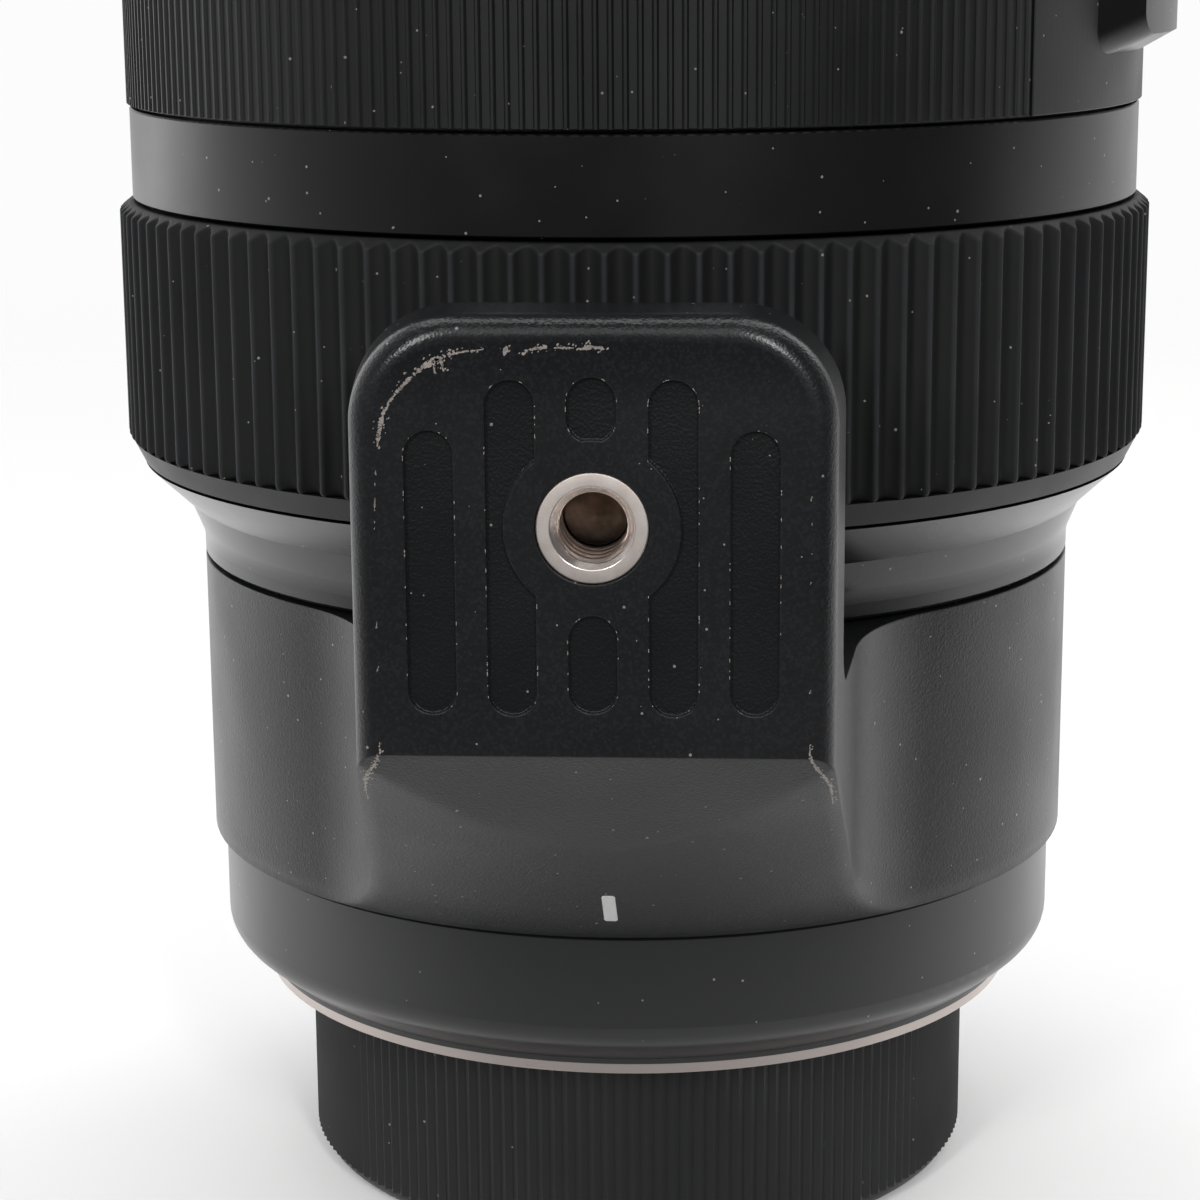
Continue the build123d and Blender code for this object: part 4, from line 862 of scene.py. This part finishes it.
# %% [markdown]
# ## Marks that lie on a surface
# Paint marks and scratches follow the surface that carries them, which is curved here. A ray is cast
# at the CAD solid for each point of a mark, and the mark becomes a thin closed strip just above where
# the rays land. The strip stands about 0.02 mm proud, so it can't sink into the paint.


# %% Strips laid on a carrier
def carrier_of(name):
    """The surface of a CAD node, ready for ray casts."""
    mesh = frame["nodes"][name].data
    faces = [tuple(p.vertices) for p in mesh.polygons]
    return BVHTree.FromPolygons([v.co for v in mesh.vertices], faces)


def laid_strip(carrier, line, ray, proud=0.02 * mm, sunk=0.04 * mm):
    """Points and faces of a strip over (point, width) pairs. The ray points at the carrier."""
    ray = Vector(ray).normalized()
    run_up = 20 * mm
    rings = []
    for i, (point, width) in enumerate(line):
        before, after = Vector(line[max(i - 1, 0)][0]), Vector(line[min(i + 1, len(line) - 1)][0])
        side = (after - before).cross(ray).normalized() * width / 2
        ends = []
        for shift in (-side, side):
            hit, normal, *_ = carrier.ray_cast(Vector(point) + shift - ray * run_up, ray)
            if hit is None:
                break
            if normal.dot(ray) > 0:
                normal = -normal
            ends += [hit + normal * proud, hit - normal * sunk]
        if len(ends) == 4:
            rings.append(ends)
    if len(rings) < 2:
        return [], []
    points = [tuple(p) for ends in rings for p in (ends[0], ends[2], ends[3], ends[1])]
    faces = []
    for i in range(len(rings) - 1):
        for j in range(4):
            a, b = 4 * i + j, 4 * i + (j + 1) % 4
            faces.append((a, b, b + 4, a + 4))
    last = 4 * (len(rings) - 1)
    faces += [(3, 2, 1, 0), (last, last + 1, last + 2, last + 3)]
    return points, faces


def strips(name, parts):
    """One mesh from many strips, with all faces turned outwards."""
    mesh = merged(name, parts)
    work = bmesh.new()
    work.from_mesh(mesh)
    bmesh.ops.recalc_face_normals(work, faces=work.faces)
    work.to_mesh(mesh)
    work.free()
    return mesh


collar_skin = carrier_of("tripod_collar")
print("collar surface is ready for marks")

# %% [markdown]
# ## The white index bar
# A short bar of white enamel on the ramp shows which way the foot points. The stamp leaves a thick,
# slightly rounded film, brighter than anything else on the lens.

# %% Index bar
enamel, tree, shader, place = start("white_enamel", "#fbfbf7", 0.4)
cloudy(tree, shader, place, 1.2 * mm, 0.34, 0.48)
bar_line = [((0, y * mm, 25 * mm), w * mm) for y, w in (
    (-47.35, 0.8), (-47.25, 1.0), (-47.1, 1.1), (-46, 1.1), (-45, 1.1), (-44, 1.1), (-43.4, 1.1),
    (-43.25, 1.0), (-43.15, 0.8))]
bar = strips("index_bar", [laid_strip(collar_skin, bar_line, (0, 0, 1))])
placed("index_bar", bar, "collar", "collar_casting", enamel, smooth=False)

# %% [markdown]
# ## Bare metal where the paint has worn
# Years on tripod plates have rubbed the coat off the foot's edges: a streak round the upper left
# corner with a few nicks, short chips along the top and at both lower corners, and fine dots round
# the recesses. Each is a thin strip of bare metal with a ragged width, laid on the collar. The long
# streaks are listed one by one, and the dots are placed by a fixed seed.

# %% Worn edges of the foot
bare, tree, shader, place = start("bare_magnesium", "#a89c93", 0.5, metallic=0.3)
cloudy(tree, shader, place, 0.6 * mm, 0.42, 0.62)
tinted(tree, shader, noise(tree, place, 0.35 * mm, 3.0), "#6f655e", "#d2c8c0")  # grime in the pits
wear_dice = random.Random(11)
bush_mid = bush_z / mm
boss_r = 6.2  # no dots on the boss round the bush
before_foot = -90 * mm  # rays start well in front of the foot


def mark(x, z, width):
    """A point and a width of a mark on the foot, from values in mm."""
    return (x * mm, before_foot, z * mm), width * mm


def dashes(line, width, cover, length, wobble=0.0):
    """Break a line of (x, z) points in mm into ragged dashes that cover a share of it."""
    made, held, on = [], [], wear_dice.random() < cover
    left = length * wear_dice.uniform(0.3, 1.7)
    for (x0, z0), (x1, z1) in zip(line, line[1:]):
        span = hypot(x1 - x0, z1 - z0)
        count = max(1, int(span / 0.06))
        for k in range(count):
            x, z = x0 + (x1 - x0) * k / count, z0 + (z1 - z0) * k / count
            left -= span / count
            if left < 0:
                if on and len(held) > 2:
                    made.append(held)
                held, on = [], wear_dice.random() < cover
                left = length * wear_dice.uniform(0.3, 1.7)
            if on:
                ragged = width * wear_dice.uniform(0.35, 1.0)
                drift = wobble * wear_dice.uniform(-1, 1)
                held.append(mark(x + drift, z + drift, ragged))
    if on and len(held) > 2:
        made.append(held)
    tip = 0.03 * mm
    for dash in made:
        dash[0], dash[-1] = (dash[0][0], tip), (dash[-1][0], tip)
    return made


def stadium(x, low, high, half_width, inset=0.0):
    """The outline of a slot with round ends, in mm, as (x, z) points."""
    r = half_width + inset
    line = [(x + r * cos(t * pi / 12), high - half_width + r * sin(t * pi / 12)) for t in range(13)]
    line += [(x - r * cos(t * pi / 12), low + half_width - r * sin(t * pi / 12)) for t in range(13)]
    return line + line[:1]


worn_lines = []
slots = ((-11.86, -14.0, 7.2), (-5.93, -14.1, 10.9), (0, -13.9, -6.5), (0, 6.3, 11.1),
         (5.93, -14.1, 10.9), (11.86, -14.0, 7.2))  # middle x, then lower and upper end from the bush
for x, low, high in slots:
    for dot in dashes(stadium(x, bush_mid + low, bush_mid + high, 1.8, 0.05), 0.09, 0.17, 0.22):
        (dot_x, _, dot_z), _ = dot[0]
        if hypot(dot_x / mm, dot_z / mm - bush_mid) > boss_r:
            worn_lines.append(dot)
print("slot dashes:", len(worn_lines))


def scratch(points):
    """Bare streaks along (x, z, width) points in mm: a ragged, broken line with flecks beside it."""
    made, held = [], []
    for (x0, z0, w0), (x1, z1, w1) in zip(points, points[1:]):
        count = max(2, int(hypot(x1 - x0, z1 - z0) / 0.09))
        for k in range(count):
            share = k / count
            wide = w0 + (w1 - w0) * share
            x = x0 + (x1 - x0) * share + wear_dice.uniform(-0.25, 0.25) * wide
            z = z0 + (z1 - z0) * share + wear_dice.uniform(-0.25, 0.25) * wide
            held.append(mark(x, z, wide * wear_dice.uniform(0.3, 1.15)))
            if wear_dice.random() < 0.10 and len(held) > 2:
                made.append(held)
                held = []
            if wear_dice.random() < 0.45:
                off_x, off_z = (wear_dice.uniform(-0.9, 0.9) * (wide + 0.12) for _ in "xz")
                fleck = wear_dice.uniform(0.05, 0.16)
                made.append([mark(x + off_x + s * fleck, z + off_z + s * fleck, w * fleck)
                             for s, w in ((0, 0.3), (0.5, 1.0), (1, 0.3))])
    return made + [held] if len(held) > 2 else made


flat_edge = 15.9  # half width of the flat face inside the foot's rounded rim, in mm
worn_lines += [line for points in (
    [(-15.50, 78.2, 0.10), (-15.42, 78.9, 0.40), (-15.25, 80.0, 0.44), (-14.95, 80.8, 0.24),
     (-14.5, 81.6, 0.20), (-13.6, 82.7, 0.30), (-12.8, 83.4, 0.26), (-12.2, 83.95, 0.40),
     (-11.1, 84.6, 0.44), (-10.2, 84.95, 0.30), (-9.3, 85.1, 0.18), (-7.7, 85.3, 0.06)],
    [(-11.35, 84.5, 0.24), (-11.2, 83.5, 0.14)],
    [(-10.8, 84.6, 0.26), (-10.55, 83.6, 0.14)],
    [(-10.2, 84.9, 0.2), (-10.1, 84.4, 0.12)],
    [(-6.0, 85.5, 0.34), (-6.2, 84.75, 0.24)],
    [(-4.95, 84.95, 0.2), (-4.55, 85.2, 0.34), (-3.9, 85.35, 0.18), (-3.3, 85.5, 0.36),
     (-3.0, 85.5, 0.1)],
    [(-2.6, 85.4, 0.12), (-1.9, 85.42, 0.16), (-1.1, 85.4, 0.08)],
    [(-0.8, 85.35, 0.26), (-0.05, 85.5, 0.34), (0.9, 85.35, 0.28), (1.1, 85.35, 0.08)],
) for line in scratch(points)]
worn_lines += dashes([(-15.6, 78.0), (-15.8, 74.0), (-15.9, 72.0)], 0.09, 0.3, 0.25, 0.08)
for hand in (-1, 1):
    worn_lines += scratch([(hand * x, z, wide) for x, z, wide in (
        (15.9, 56.0, 0.06), (15.9, 55.2, 0.20), (16.4, 54.1, 0.30), (17.0, 53.2, 0.34),
        (17.45, 52.2, 0.34), (17.65, 51.2, 0.20), (17.75, 49.6, 0.06))])
    flank = [(hand * flat_edge, 57.0 + k) for k in range(20)]
    worn_lines += dashes(flank, 0.07, 0.10, 0.25, 0.12)
wear = strips("worn_paint", [laid_strip(collar_skin, line, (0, 1, 0), 0.012 * mm, 0.03 * mm)
                             for line in worn_lines])
placed("worn_paint", wear, "collar", "collar_casting", bare, smooth=False)
print("worn paint has", len(worn_lines), "dashes")

# %% [markdown]
# ## The distance scale
# Behind the window turns the drum with the distance scale. The real one is printed with figures; here
# it carries plain strokes, long and short, which is all that a scale needs to be read as one. Each
# stroke is a thin bar. The ring tree sets one every three degrees and a longer one every fifteen.

# %% Strokes on the scale drum
drum_r = max(hypot(v.co.x, v.co.y) for v in frame["nodes"]["distance_scale"].data.vertices) / mm
print("scale drum radius in mm:", round(drum_r, 2))


def stroke_tile(low, high, half_width):
    """One stroke on the drum at +X, closed, standing 0.03 mm proud."""
    root, top = drum_r - 0.05, drum_r + 0.03
    section = [(root, -half_width), (top, -half_width), (top, half_width), (root, half_width)]
    return prism("stroke", section, low, high)


ink, tree, shader, place = start("white_screen_ink", "#c9cac6", 0.5)
cloudy(tree, shader, place, 0.8 * mm, 0.44, 0.58)
window_edge, scale_turn = 180 - 16, 112  # the scale reaches back by the turn of the focus ring
scale_start = radians(window_edge - scale_turn - azimuth_of_x)
strokes = [
    ring_of(stroke_tile(108.6, 110.4, 0.10), 49, ink, scale_start, radians(3)),
    ring_of(stroke_tile(108.6, 112.4, 0.15), 10, ink, scale_start, radians(15)),
]
scale = joined("scale_strokes", strokes)
placed("scale_strokes", scale, "focus_ring", "inner_plastic", ink, smooth=False)
